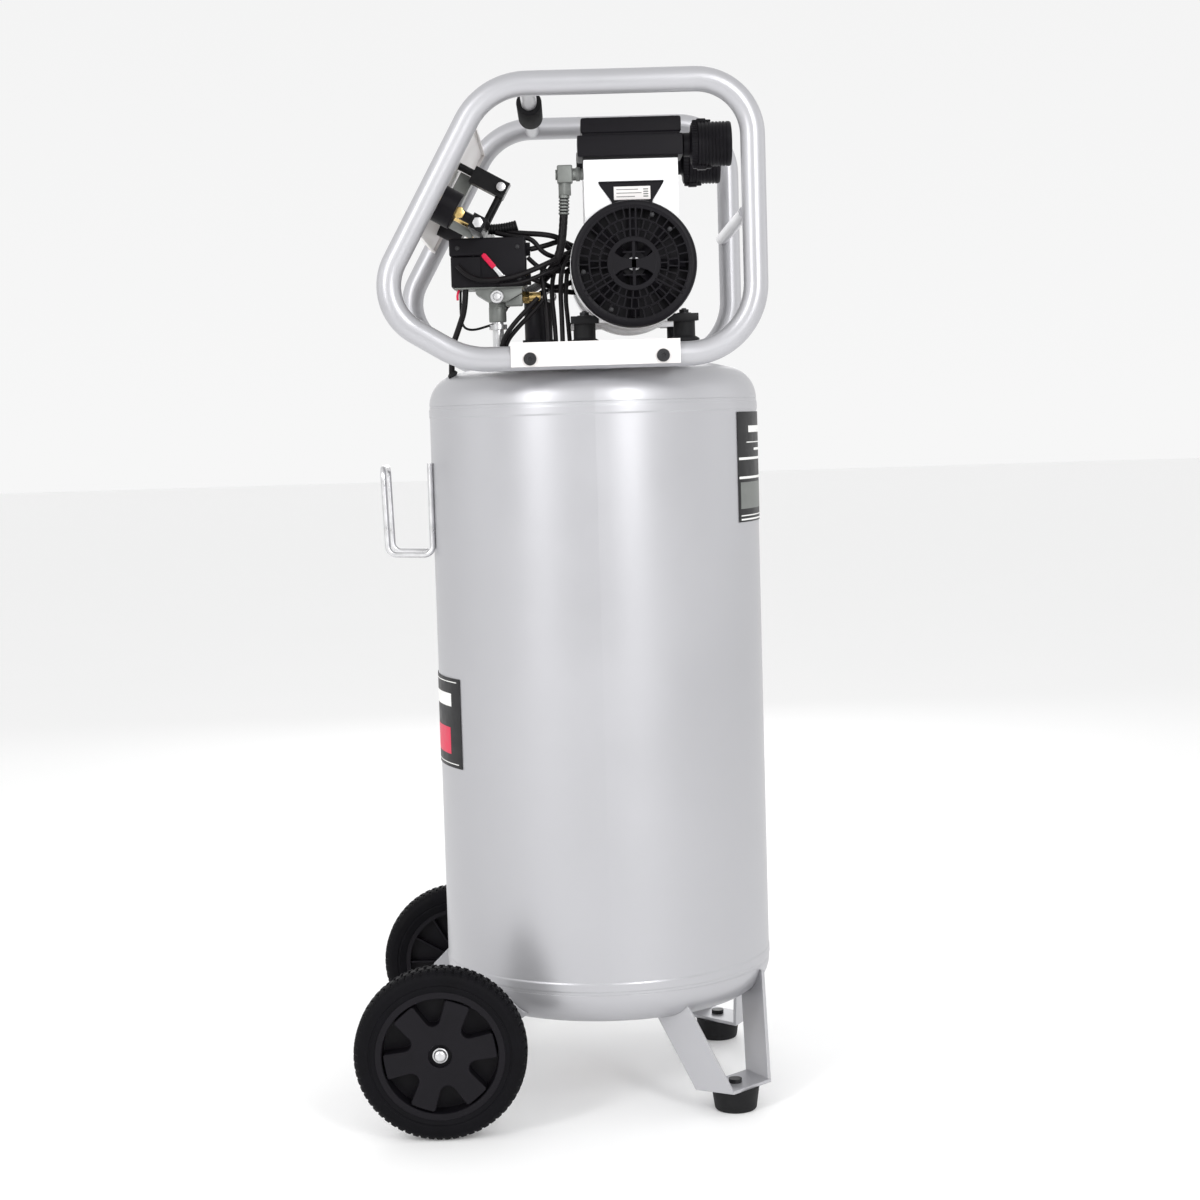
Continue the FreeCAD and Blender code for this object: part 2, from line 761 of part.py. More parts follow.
def control_panel():
    """A folded pan between the slanted tubes, with a row of holes for its fittings."""
    half, low, high = size("panel_half_width"), size("panel_low"), size("panel_high")
    sheet, depth = size("panel_sheet"), size("panel_depth")
    block = box((-half, low, sheet - depth), (half, high, sheet), PANEL)
    hollow = box((-half + sheet, low + sheet, -depth), (half - sheet, high - sheet, 0), PANEL)
    row, gauge, coupler = SIZES["control_row"], SIZES["gauge_x"], SIZES["coupler_x"]
    holes = [rod(REGULATOR_NECK + 0.3, 10, (0, row, -4), frame=PANEL)]
    for side in SIDES:
        holes.append(rod(GAUGE_BODY + 0.3, 10, (side * gauge, row, -4), frame=PANEL))
        holes.append(rod(COUPLER_BODY + 0.3, 10, (side * coupler, row, -4), frame=PANEL))
    keep("control_panel", cut(block, hollow, *holes))


def gauges():
    cases, dials, lenses = [], [], []
    row, bezel = SIZES["control_row"], size("gauge_radius")
    for side, name in zip(SIDES, ("outlet", "tank")):
        x = side * SIZES["gauge_x"]
        shell = fuse(rod(bezel, 10, (x, row, 2.1), frame=PANEL),
                     rod(GAUGE_BODY, 3 - GAUGE_BACK, (x, row, GAUGE_BACK), frame=PANEL),
                     rod(6, GAUGE_BACK + 1 - MANIFOLD_FACE, (x, row, MANIFOLD_FACE + 0.1), frame=PANEL))
        cases.append(cut(shell, rod(bezel - 2.5, 8, (x, row, 6), frame=PANEL)))
        face = rod(bezel - 2.6, 0.8, (x, row, 6.05), frame=PANEL)
        pin = rod(0.8, 2.4, (x, row, 6.5), frame=PANEL)
        dials.append(fuse(face, pin))
        lenses.append(rod(bezel - 2.6, 1.2, (x, row, 10.6), frame=PANEL))
        hub = rod(2.6, 0.8, (x, row, 7.6), frame=PANEL)
        needle = needle_blade(x, row)
        keep(f"{name}_gauge_needle", cut(fuse(hub, needle), rod(0.86, 4, (x, row, 6), frame=PANEL)))
    keep("gauge_cases", group(cases))
    keep("gauge_dials", group(dials))
    keep("gauge_lenses", group(lenses))


def needle_blade(x, row):
    """A pointer that rests at the lower left of the dial."""
    tilt = FreeCAD.Placement(FreeCAD.Vector(x, row, 7.6), FreeCAD.Rotation(UP, 225))
    frame = PANEL.multiply(tilt)
    return padded([(-5.0, -1.2), (16.0, -0.4), (16.0, 0.4), (-5.0, 1.2)], 0.8, frame=frame)


def regulator():
    row, knob = SIZES["control_row"], size("knob_radius")
    barrel_top = -3
    body = fuse(rod(14, barrel_top - MANIFOLD_FACE - 0.1, (0, row, MANIFOLD_FACE + 0.1), frame=PANEL),
                rod(REGULATOR_NECK, 22, (0, row, barrel_top), frame=PANEL),
                hexagon(17, 4, (0, row, 2.1), frame=PANEL),
                box((-13, row + 8, -22), (13, 56, -4), PANEL))
    keep("regulator_body", body)
    cap = fuse(rod(knob, 20, (0, row, 8), frame=PANEL),
               taper(knob, knob - 3, 3.5, (0, row, 28), frame=PANEL))
    flutes = []
    for index in range(12):
        angle = math.radians(30 * index)
        x, y = 21.5 * math.cos(angle), row + 21.5 * math.sin(angle)
        flutes.append(rod(2.6, 26, (x, y, 7), frame=PANEL))
    bore = rod(REGULATOR_NECK + 0.06, 12.5, (0, row, 7), frame=PANEL)
    keep("regulator_knob", cut(cap, bore, *flutes))


COUPLER_FRONT = 20.0
SLEEVE_BACK = 9.0


def couplers():
    bodies = []
    row = SIZES["control_row"]
    for side, name in zip(SIDES, ("right", "left")):
        x = side * SIZES["coupler_x"]
        stem = rod(COUPLER_BODY, COUPLER_FRONT - MANIFOLD_FACE - 0.1, (x, row, MANIFOLD_FACE + 0.1),
                   frame=PANEL)
        nut = hexagon(11, 2.5, (x, row, 2.1), frame=PANEL)
        socket = rod(4.8, 20, (x, row, COUPLER_FRONT - 20), frame=PANEL)
        bodies.append(cut(fuse(stem, nut), socket))
        outer = turned([
            (COUPLER_BODY + 0.06, 0.0), (11.0, 0.0), (12.5, 1.5), (12.5, 4.0), (11.3, 5.0),
            (11.3, 8.0), (12.5, 9.0), (12.5, 10.3), (11.5, 11.3), (COUPLER_BODY + 0.06, 11.3),
        ], (x, row, SLEEVE_BACK), frame=PANEL)
        keep(f"coupler_sleeve_{name}", outer)
    keep("coupler_bodies", group(bodies))


def air_manifold():
    """The bar that joins gauges, regulator and couplers, and the block on two risers above it."""
    row = SIZES["control_row"]
    bar = box((-140, row - 9, MANIFOLD_FACE - 18), (140, row + 9, MANIFOLD_FACE), PANEL)
    plugs = [rod(7, 4, (side * 140, row, MANIFOLD_FACE - 9), axis, PANEL)
             for side, axis in zip(SIDES, ("X", "-X"))]
    block = box((14, 48, -66), (44, 69, -20), PANEL)
    risers = [rod(4.5, 50 - row, (x, row, -61), "Y", PANEL) for x in (22, 36)]
    nut = hexagon(7.5, 7, (29, 60, -26.5), frame=PANEL)
    stud = rod(4.5, 20, (29, 60, -20.2), frame=PANEL)
    plug = hexagon(7.5, 5, (43, 60, -58), "X", PANEL)
    keep("air_manifold", fuse(bar, *plugs, block, *risers, nut, stud, plug))


# ---------------------------------------------------------------- pressure switch

SWITCH_HALF_X = 32.5
SWITCH_FRONT = -168.0
SWITCH_BACK = -76.0
LEVER_PIVOT = (-104.0, 1006.7)
LEVER_LENGTH = 37.0
LEVER_LEAN = 130.0
BASE_LOW = 975.5


def tank_nipple():
    x, y = SIZES["switch_x"], SIZES["switch_y"]
    pipe = rod(size("nipple_radius"), 53.9, (x, y, 901))
    nut = rod(11, 6, (x, y, 946))
    keep("tank_nipple", cut(fuse(pipe, nut), rod(5, 60, (x, y, 899))))


def switch_base():
    x, y = SIZES["switch_x"], SIZES["switch_y"]
    low = SIZES["switch_low"]
    plate = box((x - 29.5, SWITCH_FRONT + 3, low + 0.1), (x + 29.5, SWITCH_BACK - 3, low + 2.6))
    neck = box((x - 26, y - 22, BASE_LOW), (x + 26, y + 31, low + 1))
    collar = taper(9.5, 20, 6, (x, y, BASE_LOW - 5))
    stem = rod(9.5, 21, (x, y, 955))
    post = box((x + 18, LEVER_PIVOT[0] - 6, low + 2), (x + 26, LEVER_PIVOT[0] + 6, low + 20))
    arm = rod(2.4, 15, (x + 22, *LEVER_PIVOT), "X")
    solid = fuse(plate, neck, collar, stem, post, arm)
    port_hole = rod(5, 30, (x, y, 953))
    valve_hole = rod(5.1, 14, (x, y + 31 - 12, SAFETY_Z), "Y")
    keep("switch_base", cut(solid, port_hole, valve_hole))


def switch_cover():
    x, low, high = SIZES["switch_x"], size("switch_low"), size("switch_high")
    shell = box((x - SWITCH_HALF_X, SWITCH_FRONT, low), (x + SWITCH_HALF_X, SWITCH_BACK, high))
    hollow = box((x - SWITCH_HALF_X + 2.5, SWITCH_FRONT + 2.5, low - 1),
                 (x + SWITCH_HALF_X - 2.5, SWITCH_BACK - 2.5, high - 2.5))
    lever_hole = rod(4, 12, (x + SWITCH_HALF_X - 6, *LEVER_PIVOT), "X")
    glands = [rod(6.0, 6, (70, SWITCH_BACK - 4, z), "Y") for z in GLAND_HEIGHTS]
    keep("switch_cover", cut(shell, hollow, lever_hole, *glands))


GLAND_HEIGHTS = (1006.0, 1041.0)


def cable_glands():
    """Threaded strain reliefs for the two motor leads, and one under the switch for the supply lead."""
    glands = []
    for z in GLAND_HEIGHTS:
        shape = fuse(rod(5.9, 6, (70, SWITCH_BACK - 3, z), "Y"),
                     hexagon(9, 5, (70, SWITCH_BACK + 0.1, z), "Y"))
        glands.append(cut(shape, rod(3.3, 14, (70, SWITCH_BACK - 5, z), "Y")))
    keep("cable_glands", group(glands))


def switch_lever():
    """The on and off lever, on a pin through the side of the switch."""
    x = SIZES["switch_x"] + SWITCH_HALF_X
    frame = frame_at(x + 0.6, *LEVER_PIVOT).multiply(
        FreeCAD.Placement(FreeCAD.Vector(), FreeCAD.Rotation(FreeCAD.Vector(1, 0, 0), LEVER_LEAN)))
    hub = rod(5, 3.4, (0, 0, 0), "X", frame)
    arm = box((0.6, 0, -1.8), (2.8, LEVER_LENGTH - 14, 1.8), frame)
    knob = box((-0.0, LEVER_LENGTH - 15, -3.0), (3.4, LEVER_LENGTH, 3.0), frame)
    hole = rod(2.46, 6, (-1, 0, 0), "X", frame)
    keep("switch_lever", cut(fuse(hub, arm, knob), hole))


SAFETY_Z = 984.0


def safety_valve():
    x, start = SIZES["switch_x"], SIZES["switch_y"] + 31
    body = fuse(rod(5, 12, (x, start - 10, SAFETY_Z), "Y"), hexagon(8, 8, (x, start + 0.1, SAFETY_Z), "Y"),
                rod(6.2, 20, (x, start + 2, SAFETY_Z), "Y"))
    keep("safety_valve_body", cut(body, rod(2.3, 16, (x, start + 8, SAFETY_Z), "Y")))
    stem = rod(2.24, 18, (x, start + 10, SAFETY_Z), "Y")
    loop = ring(6, 1.2, (x, start + 34, SAFETY_Z), "X")
    keep("safety_valve_ring", fuse(stem, loop))


def check_valve():
    x, y = CHECK_PORT
    body = fuse(rod(size("nipple_radius"), 12, (x, y, 900)), hexagon(11, 17, (x, y, PORT_TOP + 0.1)),
                hexagon(7.5, 17.5, (x, y, PORT_TOP + 16.5)))
    keep("check_valve", cut(body, rod(4.5, 60, (x, y, 898))))


# ---------------------------------------------------------------- twin pump

BLOCK_INNER = 50.0
BLOCK_OUTER = 112.0
BLOCK_TOP = 1141.0
PLATE_TOP = 1144.0
HEAD_TOP = 1190.0
LINER_WALL = 2.5
CHAMBER_RADIUS = 48.0
BEARING_RADIUS = 16.0
FOOT_PLATE = (949.0, 955.0)
MOUNT_PLACES = [(side * 87.0, y) for side in SIDES for y in (-8.0, 112.0)]


def along(side, near, far):
    """Start and axis of something that runs outwards along X from near to far on one side."""
    return side * near, "X" if side > 0 else "-X", far - near


def outward_rod(radius, side, near, far, y=None, z=None):
    start, axis, length = along(side, near, far)
    return rod(radius, length, (start, SIZES["pump_y"] if y is None else y,
                                SIZES["pump_z"] if z is None else z), axis)


def outward_box(side, near, far, low, high):
    xs = sorted((side * near, side * far))
    return box((xs[0], low[0], low[1]), (xs[1], high[0], high[1]))


def crankcase(side):
    y, z, x = SIZES["pump_y"], SIZES["pump_z"], side * SIZES["cylinder_x"]
    round_part = outward_rod(size("crankcase_radius"), side, BLOCK_INNER, BLOCK_OUTER)
    upright = outward_box(side, BLOCK_INNER, BLOCK_OUTER, (y - 56, z), (y + 56, BLOCK_TOP))
    foot = outward_box(side, 72, 102, (y - 76, FOOT_PLATE[0]), (y + 76, FOOT_PLATE[1]))
    chamber = outward_rod(CHAMBER_RADIUS, side, 68, 94)
    bearing_bore = outward_rod(BEARING_RADIUS + 0.05, side, BLOCK_INNER - 1, BLOCK_OUTER + 1)
    cylinder_bore = rod(SIZES["bore_radius"] + LINER_WALL + 0.05, 100, (x, y, BLOCK_TOP - 99))
    return cut(fuse(round_part, upright, foot), chamber, bearing_bore, cylinder_bore)


def crankcases():
    keep("crankcases", group(crankcase(side) for side in SIDES))
    rings = []
    for side in SIDES:
        for near in (54.0, 99.0):
            outer = outward_rod(BEARING_RADIUS, side, near, near + 11)
            rings.append(cut(outer, outward_rod(size("shaft_radius") + 0.05, side, near - 1, near + 12)))
    keep("bearings", group(rings))


def cylinders():
    liners, plates, heads = [], [], []
    y = SIZES["pump_y"]
    bore, half = size("bore_radius"), size("head_half_length")
    for side in SIDES:
        x = side * SIZES["cylinder_x"]
        sleeve = rod(bore + LINER_WALL, 70, (x, y, BLOCK_TOP - 70))
        liners.append(cut(sleeve, rod(bore, 72, (x, y, BLOCK_TOP - 71))))
        plate = outward_box(side, BLOCK_INNER, BLOCK_OUTER, (y - 56, BLOCK_TOP + 0.02),
                            (y + 56, PLATE_TOP))
        ports = [rod(3, 10, (x, y + way * 12, BLOCK_TOP - 3)) for way in (1, -1)]
        plates.append(cut(plate, *ports))
        heads.append(pump_head(side, y, half))
    keep("cylinder_liners", group(liners))
    keep("valve_plates", group(plates))
    keep("cylinder_heads", group(heads))


def pump_head(side, y, half):
    """A box-shaped head with chamfered top edges, hollow underneath."""
    near, far = 46.0, 118.0
    shell = outward_box(side, near, far, (y - half, PLATE_TOP + 0.02), (y + half, HEAD_TOP))
    bevel = doc.addObject("Part::Chamfer", "Bevel")
    bevel.Base = shell
    doc.recompute()
    edges = [index + 1 for index, edge in enumerate(shell.Shape.Edges)
             if all(abs(vertex.Z - HEAD_TOP) < 0.01 for vertex in edge.Vertexes)]
    bevel.Edges = [(index, 7.0, 7.0) for index in edges]
    hollow = outward_box(side, near + 6, far - 6, (y - half + 6, PLATE_TOP - 1), (y + half - 6, HEAD_TOP - 9))
    intake = rod(9, 12, (side * FILTER_X, y + half - 8, FILTER_Z), "Y")
    return cut(bevel, hollow, intake)


FILTER_X = 98.0
FILTER_Z = 1157.0


def air_filters():
    filters = []
    start = SIZES["pump_y"] + SIZES["head_half_length"]
    radius, length = size("filter_radius"), size("filter_length")
    for side in SIDES:
        x = side * FILTER_X
        neck = rod(8.9, 18, (x, start - 7, FILTER_Z), "Y")
        collar = rod(14, 9.5, (x, start + 0.1, FILTER_Z), "Y")
        drum = rod(radius, length, (x, start + 9, FILTER_Z), "Y")
        clip = box((x - 5, start + 18, FILTER_Z + SIZES["filter_radius"] - 2),
                   (x + 5, start + 32, FILTER_Z + SIZES["filter_radius"] + 4))
        hollow = rod(radius - 3, length - 6, (x, start + 12, FILTER_Z), "Y")
        inlet = rod(6, 30, (x, start - 8, FILTER_Z), "Y")
        filters.append(cut(fuse(neck, collar, drum, clip), hollow, inlet))
    keep("air_filters", group(filters))


def pistons():
    y, z = SIZES["pump_y"], SIZES["pump_z"]
    for side, name in zip(SIDES, ("right", "left")):
        x = side * SIZES["cylinder_x"]
        crown = rod(size("bore_radius") - 0.08, 10, (x, y, BLOCK_TOP - 20))
        arm = box((x - 5, y - 7, z + 34), (x + 5, y + 7, BLOCK_TOP - 18))
        eye = rod(37.5, 12, (x - 6, y, z), "X")
        hole = rod(33.2, 14, (x - 7, y, z), "X")
        keep(f"piston_{name}", fuse(crown, arm, cut(eye, hole)))


def crankshaft():
    """The motor's shaft and rotor with an eccentric for each pump, half a turn apart."""
    y, z, throw = SIZES["pump_y"], SIZES["pump_z"], SIZES["crank_throw"]
    shaft = rod(size("shaft_radius"), 262, (-131, y, z), "X")
    rotor = rod(36, 72, (-36, y, z), "X")
    eccentrics = [rod(size("shaft_radius") + throw + 0.5, 10,
                      (side * SIZES["cylinder_x"] - 5, y + side * throw, z), "X") for side in SIDES]
    keep("crankshaft", fuse(shaft, rotor, *eccentrics))


def motor():
    outer = size("motor_radius")
    length = 2 * (BLOCK_INNER - 0.2)
    y, z = SIZES["pump_y"], SIZES["pump_z"]
    can = rod(outer, length, (-length / 2, y, z), "X")
    keep("motor_can", cut(can, rod(outer - 3.8, length + 2, (-length / 2 - 1, y, z), "X")))
    core = rod(outer - 4, 64, (-32, y, z), "X")
    keep("motor_stator", cut(core, rod(37, 66, (-33, y, z), "X")))


FAN_BLADES = 8
FAN_NEAR = 116.5
FAN_FAR = 129.0


def cooling_fans():
    y, z = SIZES["pump_y"], SIZES["pump_z"]
    fans = []
    for side in SIDES:
        blades = [outward_rod(15, side, FAN_NEAR, FAN_FAR)]
        for index in range(FAN_BLADES):
            turn = FreeCAD.Rotation(FreeCAD.Vector(1, 0, 0), 360 * index / FAN_BLADES)
            frame = frame_at(side * (FAN_NEAR + FAN_FAR) / 2, y, z, turn)
            pitch = FreeCAD.Placement(FreeCAD.Vector(), FreeCAD.Rotation(FreeCAD.Vector(0, 0, 1), side * 55))
            blades.append(box((-6, -1.2, 12), (6, 1.2, 62), frame.multiply(pitch)))
        bore = outward_rod(size("shaft_radius") + 0.02, side, FAN_NEAR - 4, FAN_FAR + 4)
        fans.append(cut(fuse(*blades), bore))
    keep("cooling_fans", group(fans))


COVER_BACK = 112.2
COVER_FRONT = 138.0
GRILLE_THICKNESS = 3.0
GRILLE_RIBS = 18


def fan_cover(side):
    """A cup over the fan whose face is a grille of radial ribs and rings."""
    y, z = SIZES["pump_y"], SIZES["pump_z"]
    radius = size("fan_cover_radius")
    face = COVER_FRONT - GRILLE_THICKNESS
    cup = cut(outward_rod(radius, side, COVER_BACK, COVER_FRONT),
              outward_rod(radius - 2.5, side, COVER_BACK - 1, face),
              outward_rod(66, side, COVER_BACK, COVER_FRONT + 1))
    pieces = [cup, outward_rod(31, side, face, COVER_FRONT)]
    for mean in (44.0, 55.0):
        pieces.append(cut(outward_rod(mean + 1.1, side, face, COVER_FRONT),
                          outward_rod(mean - 1.1, side, face - 1, COVER_FRONT + 1)))
    for index in range(GRILLE_RIBS):
        turn = FreeCAD.Rotation(FreeCAD.Vector(1, 0, 0), 360 * index / GRILLE_RIBS)
        xs = sorted((side * face, side * COVER_FRONT))
        pieces.append(box((xs[0], -1.2, 29), (xs[1], 1.2, 67), frame_at(0, y, z, turn)))
    return fuse(*pieces)


def fan_covers():
    keep("fan_covers", group(fan_cover(side) for side in SIDES))


def rubber_mounts():
    mounts = []
    low, high = SIZES["tray_top"] + 0.05, FOOT_PLATE[0] - 0.05
    for x, y in MOUNT_PLACES:
        mounts.append(turned([(0.0, 0.0), (18.0, 0.0), (18.0, 4.0), (13.0, 7.0), (13.0, high - low),
                              (0.0, high - low)], (x, y, low)))
    keep("rubber_mounts", group(mounts))


# ---------------------------------------------------------------- hoses and cables

ELBOW = (86.0, -27.0, 1116.0)
DISCHARGE_RADIUS = 4.8
CABLE_RADIUS = 3.2
CAPACITOR = (33.0, -64.0)
CAPACITOR_TOP = 982.0


def discharge_tubes():
    """Elbow, riser and hose of the right pump, and the tube that joins the two heads."""
    x, y, z = ELBOW
    wall = SIZES["pump_y"] - 56
    elbow = fuse(box((x - 10, y - 9, z), (x + 10, y + 10, z + 22)),
                 rod(7, wall - y - 5, (x, y + 5, z + 11), "Y"),
                 hexagon(8.5, 14, (x, y, z - 14)))
    end = (CHECK_PORT[0], CHECK_PORT[1], PORT_TOP + 34.1)
    points = [(x, y - 1, z - 14), (x, y - 3, 1050), (80, -42, 1018), (45, -58, 1004), (8, -66, 998),
              (-34, -94, 992), (end[0], end[1], 968), end]
    hose = swept(points, corner_radii(points), DISCHARGE_RADIUS)
    link = rod(6, 91.8, (-45.9, 52, 1164), "X")
    keep("discharge_tubes", group([elbow, hose, link]))


def corner_radii(points):
    """Bend radii that take 0.45 of the shorter run on each side of a corner."""
    radii = []
    for before, here, after in zip(points, points[1:], points[2:]):
        back = FreeCAD.Vector(*before) - FreeCAD.Vector(*here)
        ahead = FreeCAD.Vector(*after) - FreeCAD.Vector(*here)
        turn = math.pi - back.getAngle(ahead)
        radii.append(0.45 * min(back.Length, ahead.Length) / math.tan(turn / 2))
    return radii


def motor_face(angle):
    """A place just off the motor's can, at an angle above the horizontal."""
    reach = SIZES["motor_radius"] + 2.6
    turn = math.radians(angle)
    return SIZES["pump_y"] - reach * math.cos(turn), SIZES["pump_z"] + reach * math.sin(turn)


def cables():
    """Leads from the switch and the capacitor to the motor, the supply lead, and the pilot hose."""
    back = SWITCH_BACK
    upper, middle, lower = motor_face(24), motor_face(-6), motor_face(-22)
    routes = [
        [(70, back + 5.2, 1041), (68, back + 22, 1044), (52, -34, 1052), (32, upper[0] - 8, upper[1] + 2),
         (24, *upper)],
        [(70, back + 5.2, 1006), (68, back + 18, 1001), (54, -46, 994), (36, middle[0] - 9, middle[1] - 9),
         (26, *middle)],
        [(*CAPACITOR, CAPACITOR_TOP + 0.3), (*CAPACITOR, 991), (28, -40, 994),
         (18, lower[0] - 10, lower[1] - 1), (14, *lower)],
        [(80, -150, SIZES["switch_low"] - 0.3), (80, -151, 972), (77, -160, 948), (68, -170, 924),
         (62, -171, 893.5)],
        [(30, -113, 984), (14, -114, 985), (-2, -119, 1000), (-8, -128, 1026), (-8, -134, 1046),
         (-8, -135, 1058.2)],
    ]
    tubes = [swept(points, corner_radii(points), CABLE_RADIUS) for points in routes]
    keep("cables", group(tubes))


def capacitor():
    x, y = CAPACITOR
    low = SIZES["tray_top"] + 0.05
    can = rod(17, CAPACITOR_TOP - low, (x, y, low))
    clamp = rod(20, 9, (x, y, low))
    keep("capacitor", fuse(can, clamp))


def build():
    keep("tank_shell", tank_shell())
    tank_heads()
    drain_valve()
    foot_bolts = legs_and_feet()
    axle_brackets()
    axle_parts()
    wheels()
    side_loops()
    cross_bars()
    tray()
    keep("frame_bolts", group(tray_bolts() + foot_bolts))
    saddle_bracket()
    hose_hook()
    control_panel()
    gauges()
    regulator()
    couplers()
    air_manifold()
    tank_nipple()
    switch_base()
    switch_cover()
    cable_glands()
    switch_lever()
    safety_valve()
    check_valve()
    crankcases()
    cylinders()
    air_filters()
    pistons()
    crankshaft()
    motor()
    cooling_fans()
    fan_covers()
    rubber_mounts()
    discharge_tubes()
    cables()
    capacitor()


def check_and_write():
    doc.recompute()
    for item in doc.Objects:
        if "Invalid" in item.State or "Error" in item.State:
            raise ValueError(f"{item.Name} ({item.Label}) failed: {item.State}")
    for name, item in nodes.items():
        if item.Shape.isNull() or not item.Shape.isValid():
            raise ValueError(f"{name} has no valid shape")
    os.makedirs("parts", exist_ok=True)
    for name, item in nodes.items():
        item.Shape.exportStep(f"parts/{name}.step")
        print(name, len(item.Shape.Solids), round(item.Shape.Volume))
    print(len(nodes), "nodes")


build()
check_and_write()
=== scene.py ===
"""The looks of an upright two-wheeled air compressor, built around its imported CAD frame."""

import json
import math

import bmesh
import bpy
from mathutils import Matrix, Vector


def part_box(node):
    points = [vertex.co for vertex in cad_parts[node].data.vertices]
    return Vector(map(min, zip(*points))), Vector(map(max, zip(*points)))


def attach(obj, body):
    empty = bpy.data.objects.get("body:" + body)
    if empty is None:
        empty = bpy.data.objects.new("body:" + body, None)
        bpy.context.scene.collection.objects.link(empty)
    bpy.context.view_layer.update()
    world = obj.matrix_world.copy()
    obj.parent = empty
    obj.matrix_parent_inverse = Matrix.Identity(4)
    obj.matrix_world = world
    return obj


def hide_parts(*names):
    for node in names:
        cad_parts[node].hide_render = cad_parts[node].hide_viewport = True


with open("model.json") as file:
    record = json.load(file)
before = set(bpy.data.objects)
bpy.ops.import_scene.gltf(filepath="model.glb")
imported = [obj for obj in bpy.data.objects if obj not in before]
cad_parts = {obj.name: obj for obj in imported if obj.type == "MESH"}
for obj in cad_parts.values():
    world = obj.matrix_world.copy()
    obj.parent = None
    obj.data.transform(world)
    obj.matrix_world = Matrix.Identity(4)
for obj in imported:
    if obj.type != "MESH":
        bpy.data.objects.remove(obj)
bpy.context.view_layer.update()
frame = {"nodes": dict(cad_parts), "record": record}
MM = 0.001
X, Y, Z = 0, 1, 2
RIGHT, BACK, UP = Vector((1, 0, 0)), Vector((0, 1, 0)), Vector((0, 0, 1))


# ---- places

TANK_LOW, TANK_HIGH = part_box("tank_shell")
AXIS_Y = (TANK_LOW.y + TANK_HIGH.y) / 2


def at(x, y, z):
    """A place in millimetres from the tank's axis at floor level, as metres in the frame."""
    return Vector((x * MM, AXIS_Y + y * MM, z * MM))


def middle(node):
    low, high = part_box(node)
    return (low + high) / 2


def half_size(node, axis):
    """Half of a node's box along an axis, in millimetres."""
    low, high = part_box(node)
    return (high[axis] - low[axis]) / 2 / MM


def joint_where(key, value):
    return next(row for row in frame["record"]["behaviour"]["joints"] if row[key] == value)


# ---- camera, floor and light

CAMERA_PLACE = (2.77686, 0.01657, 0.83399)
CAMERA_LENS = 66.564
SENSOR_WIDTH = 36
YAW, DIP, ROLL = 0.0127, 0.0813, -0.0295
HORIZON_LIGHT = 0.93
ZENITH_LIGHT = 0.8
LIGHT_AIM = Vector((0, 0.03, 0.75))
# name, place and size in metres, power in watts
LIGHTS = (
    ("key", (2.4, -1.85, 1.9), (0.55, 1.9), 34),
    ("fill", (2.6, 1.15, 1.8), (0.5, 1.9), 34),
    ("front", (0.3, -3, 1.6), (1.6, 2), 4),
    ("rear", (-0.3, 3, 1.6), (1.6, 2), 4),
    ("far_side", (-3, 0, 1.8), (1.6, 2), 14),
)
FLOOR_HALF = 30


def swung(first, second, angle):
    """Two directions at right angles, turned so that the first goes towards the second."""
    cos, sin = math.cos(angle), math.sin(angle)
    return cos * first + sin * second, cos * second - sin * first


def photo_camera():
    """The camera on the machine's right, with a slight yaw, dip and roll."""
    ahead, right = swung(-RIGHT, BACK, YAW)
    ahead, up = swung(ahead, UP, -DIP)
    right, up = swung(right, up, ROLL)
    data = bpy.data.cameras.new("camera")
    data.sensor_width = SENSOR_WIDTH
    data.lens = CAMERA_LENS
    camera = bpy.data.objects.new("camera", data)
    turn = Matrix((right, up, -ahead)).transposed().to_4x4()
    camera.matrix_world = Matrix.Translation(CAMERA_PLACE) @ turn
    bpy.context.scene.collection.objects.link(camera)
    bpy.context.scene.camera = camera


def studio():
    """An even pale sky and five soft area lights."""
    world = bpy.data.worlds.new("studio")
    world.use_nodes = True
    nodes, links = world.node_tree.nodes, world.node_tree.links
    sky = nodes["Background"]
    where = nodes.new("ShaderNodeTexCoord")
    split = nodes.new("ShaderNodeSeparateXYZ")
    fade = nodes.new("ShaderNodeMapRange")
    fade.inputs["To Min"].default_value = HORIZON_LIGHT
    fade.inputs["To Max"].default_value = ZENITH_LIGHT
    links.new(where.outputs["Generated"], split.inputs["Vector"])
    links.new(split.outputs["Z"], fade.inputs["Value"])
    links.new(fade.outputs["Result"], sky.inputs["Strength"])
    sky.inputs["Color"].default_value = WHITE
    bpy.context.scene.world = world
    bpy.context.scene.view_settings.view_transform = "Standard"
    for name, place, size, power in LIGHTS:
        data = bpy.data.lights.new(name, "AREA")
        data.shape = "RECTANGLE"
        data.size, data.size_y = size
        data.energy = power
        light = bpy.data.objects.new(name, data)
        light.location = place
        light.rotation_euler = (LIGHT_AIM - Vector(place)).to_track_quat("-Z", "Y").to_euler()
        bpy.context.scene.collection.objects.link(light)


def floor(material):
    mesh = bpy.data.meshes.new("floor")
    corners = [(x * FLOOR_HALF, y * FLOOR_HALF, 0) for x, y in ((-1, -1), (1, -1), (1, 1), (-1, 1))]
    mesh.from_pydata(corners, [], [(0, 1, 2, 3)])
    mesh.materials.append(material)
    plane = bpy.data.objects.new("floor", mesh)
    bpy.context.scene.collection.objects.link(plane)


# ---- materials

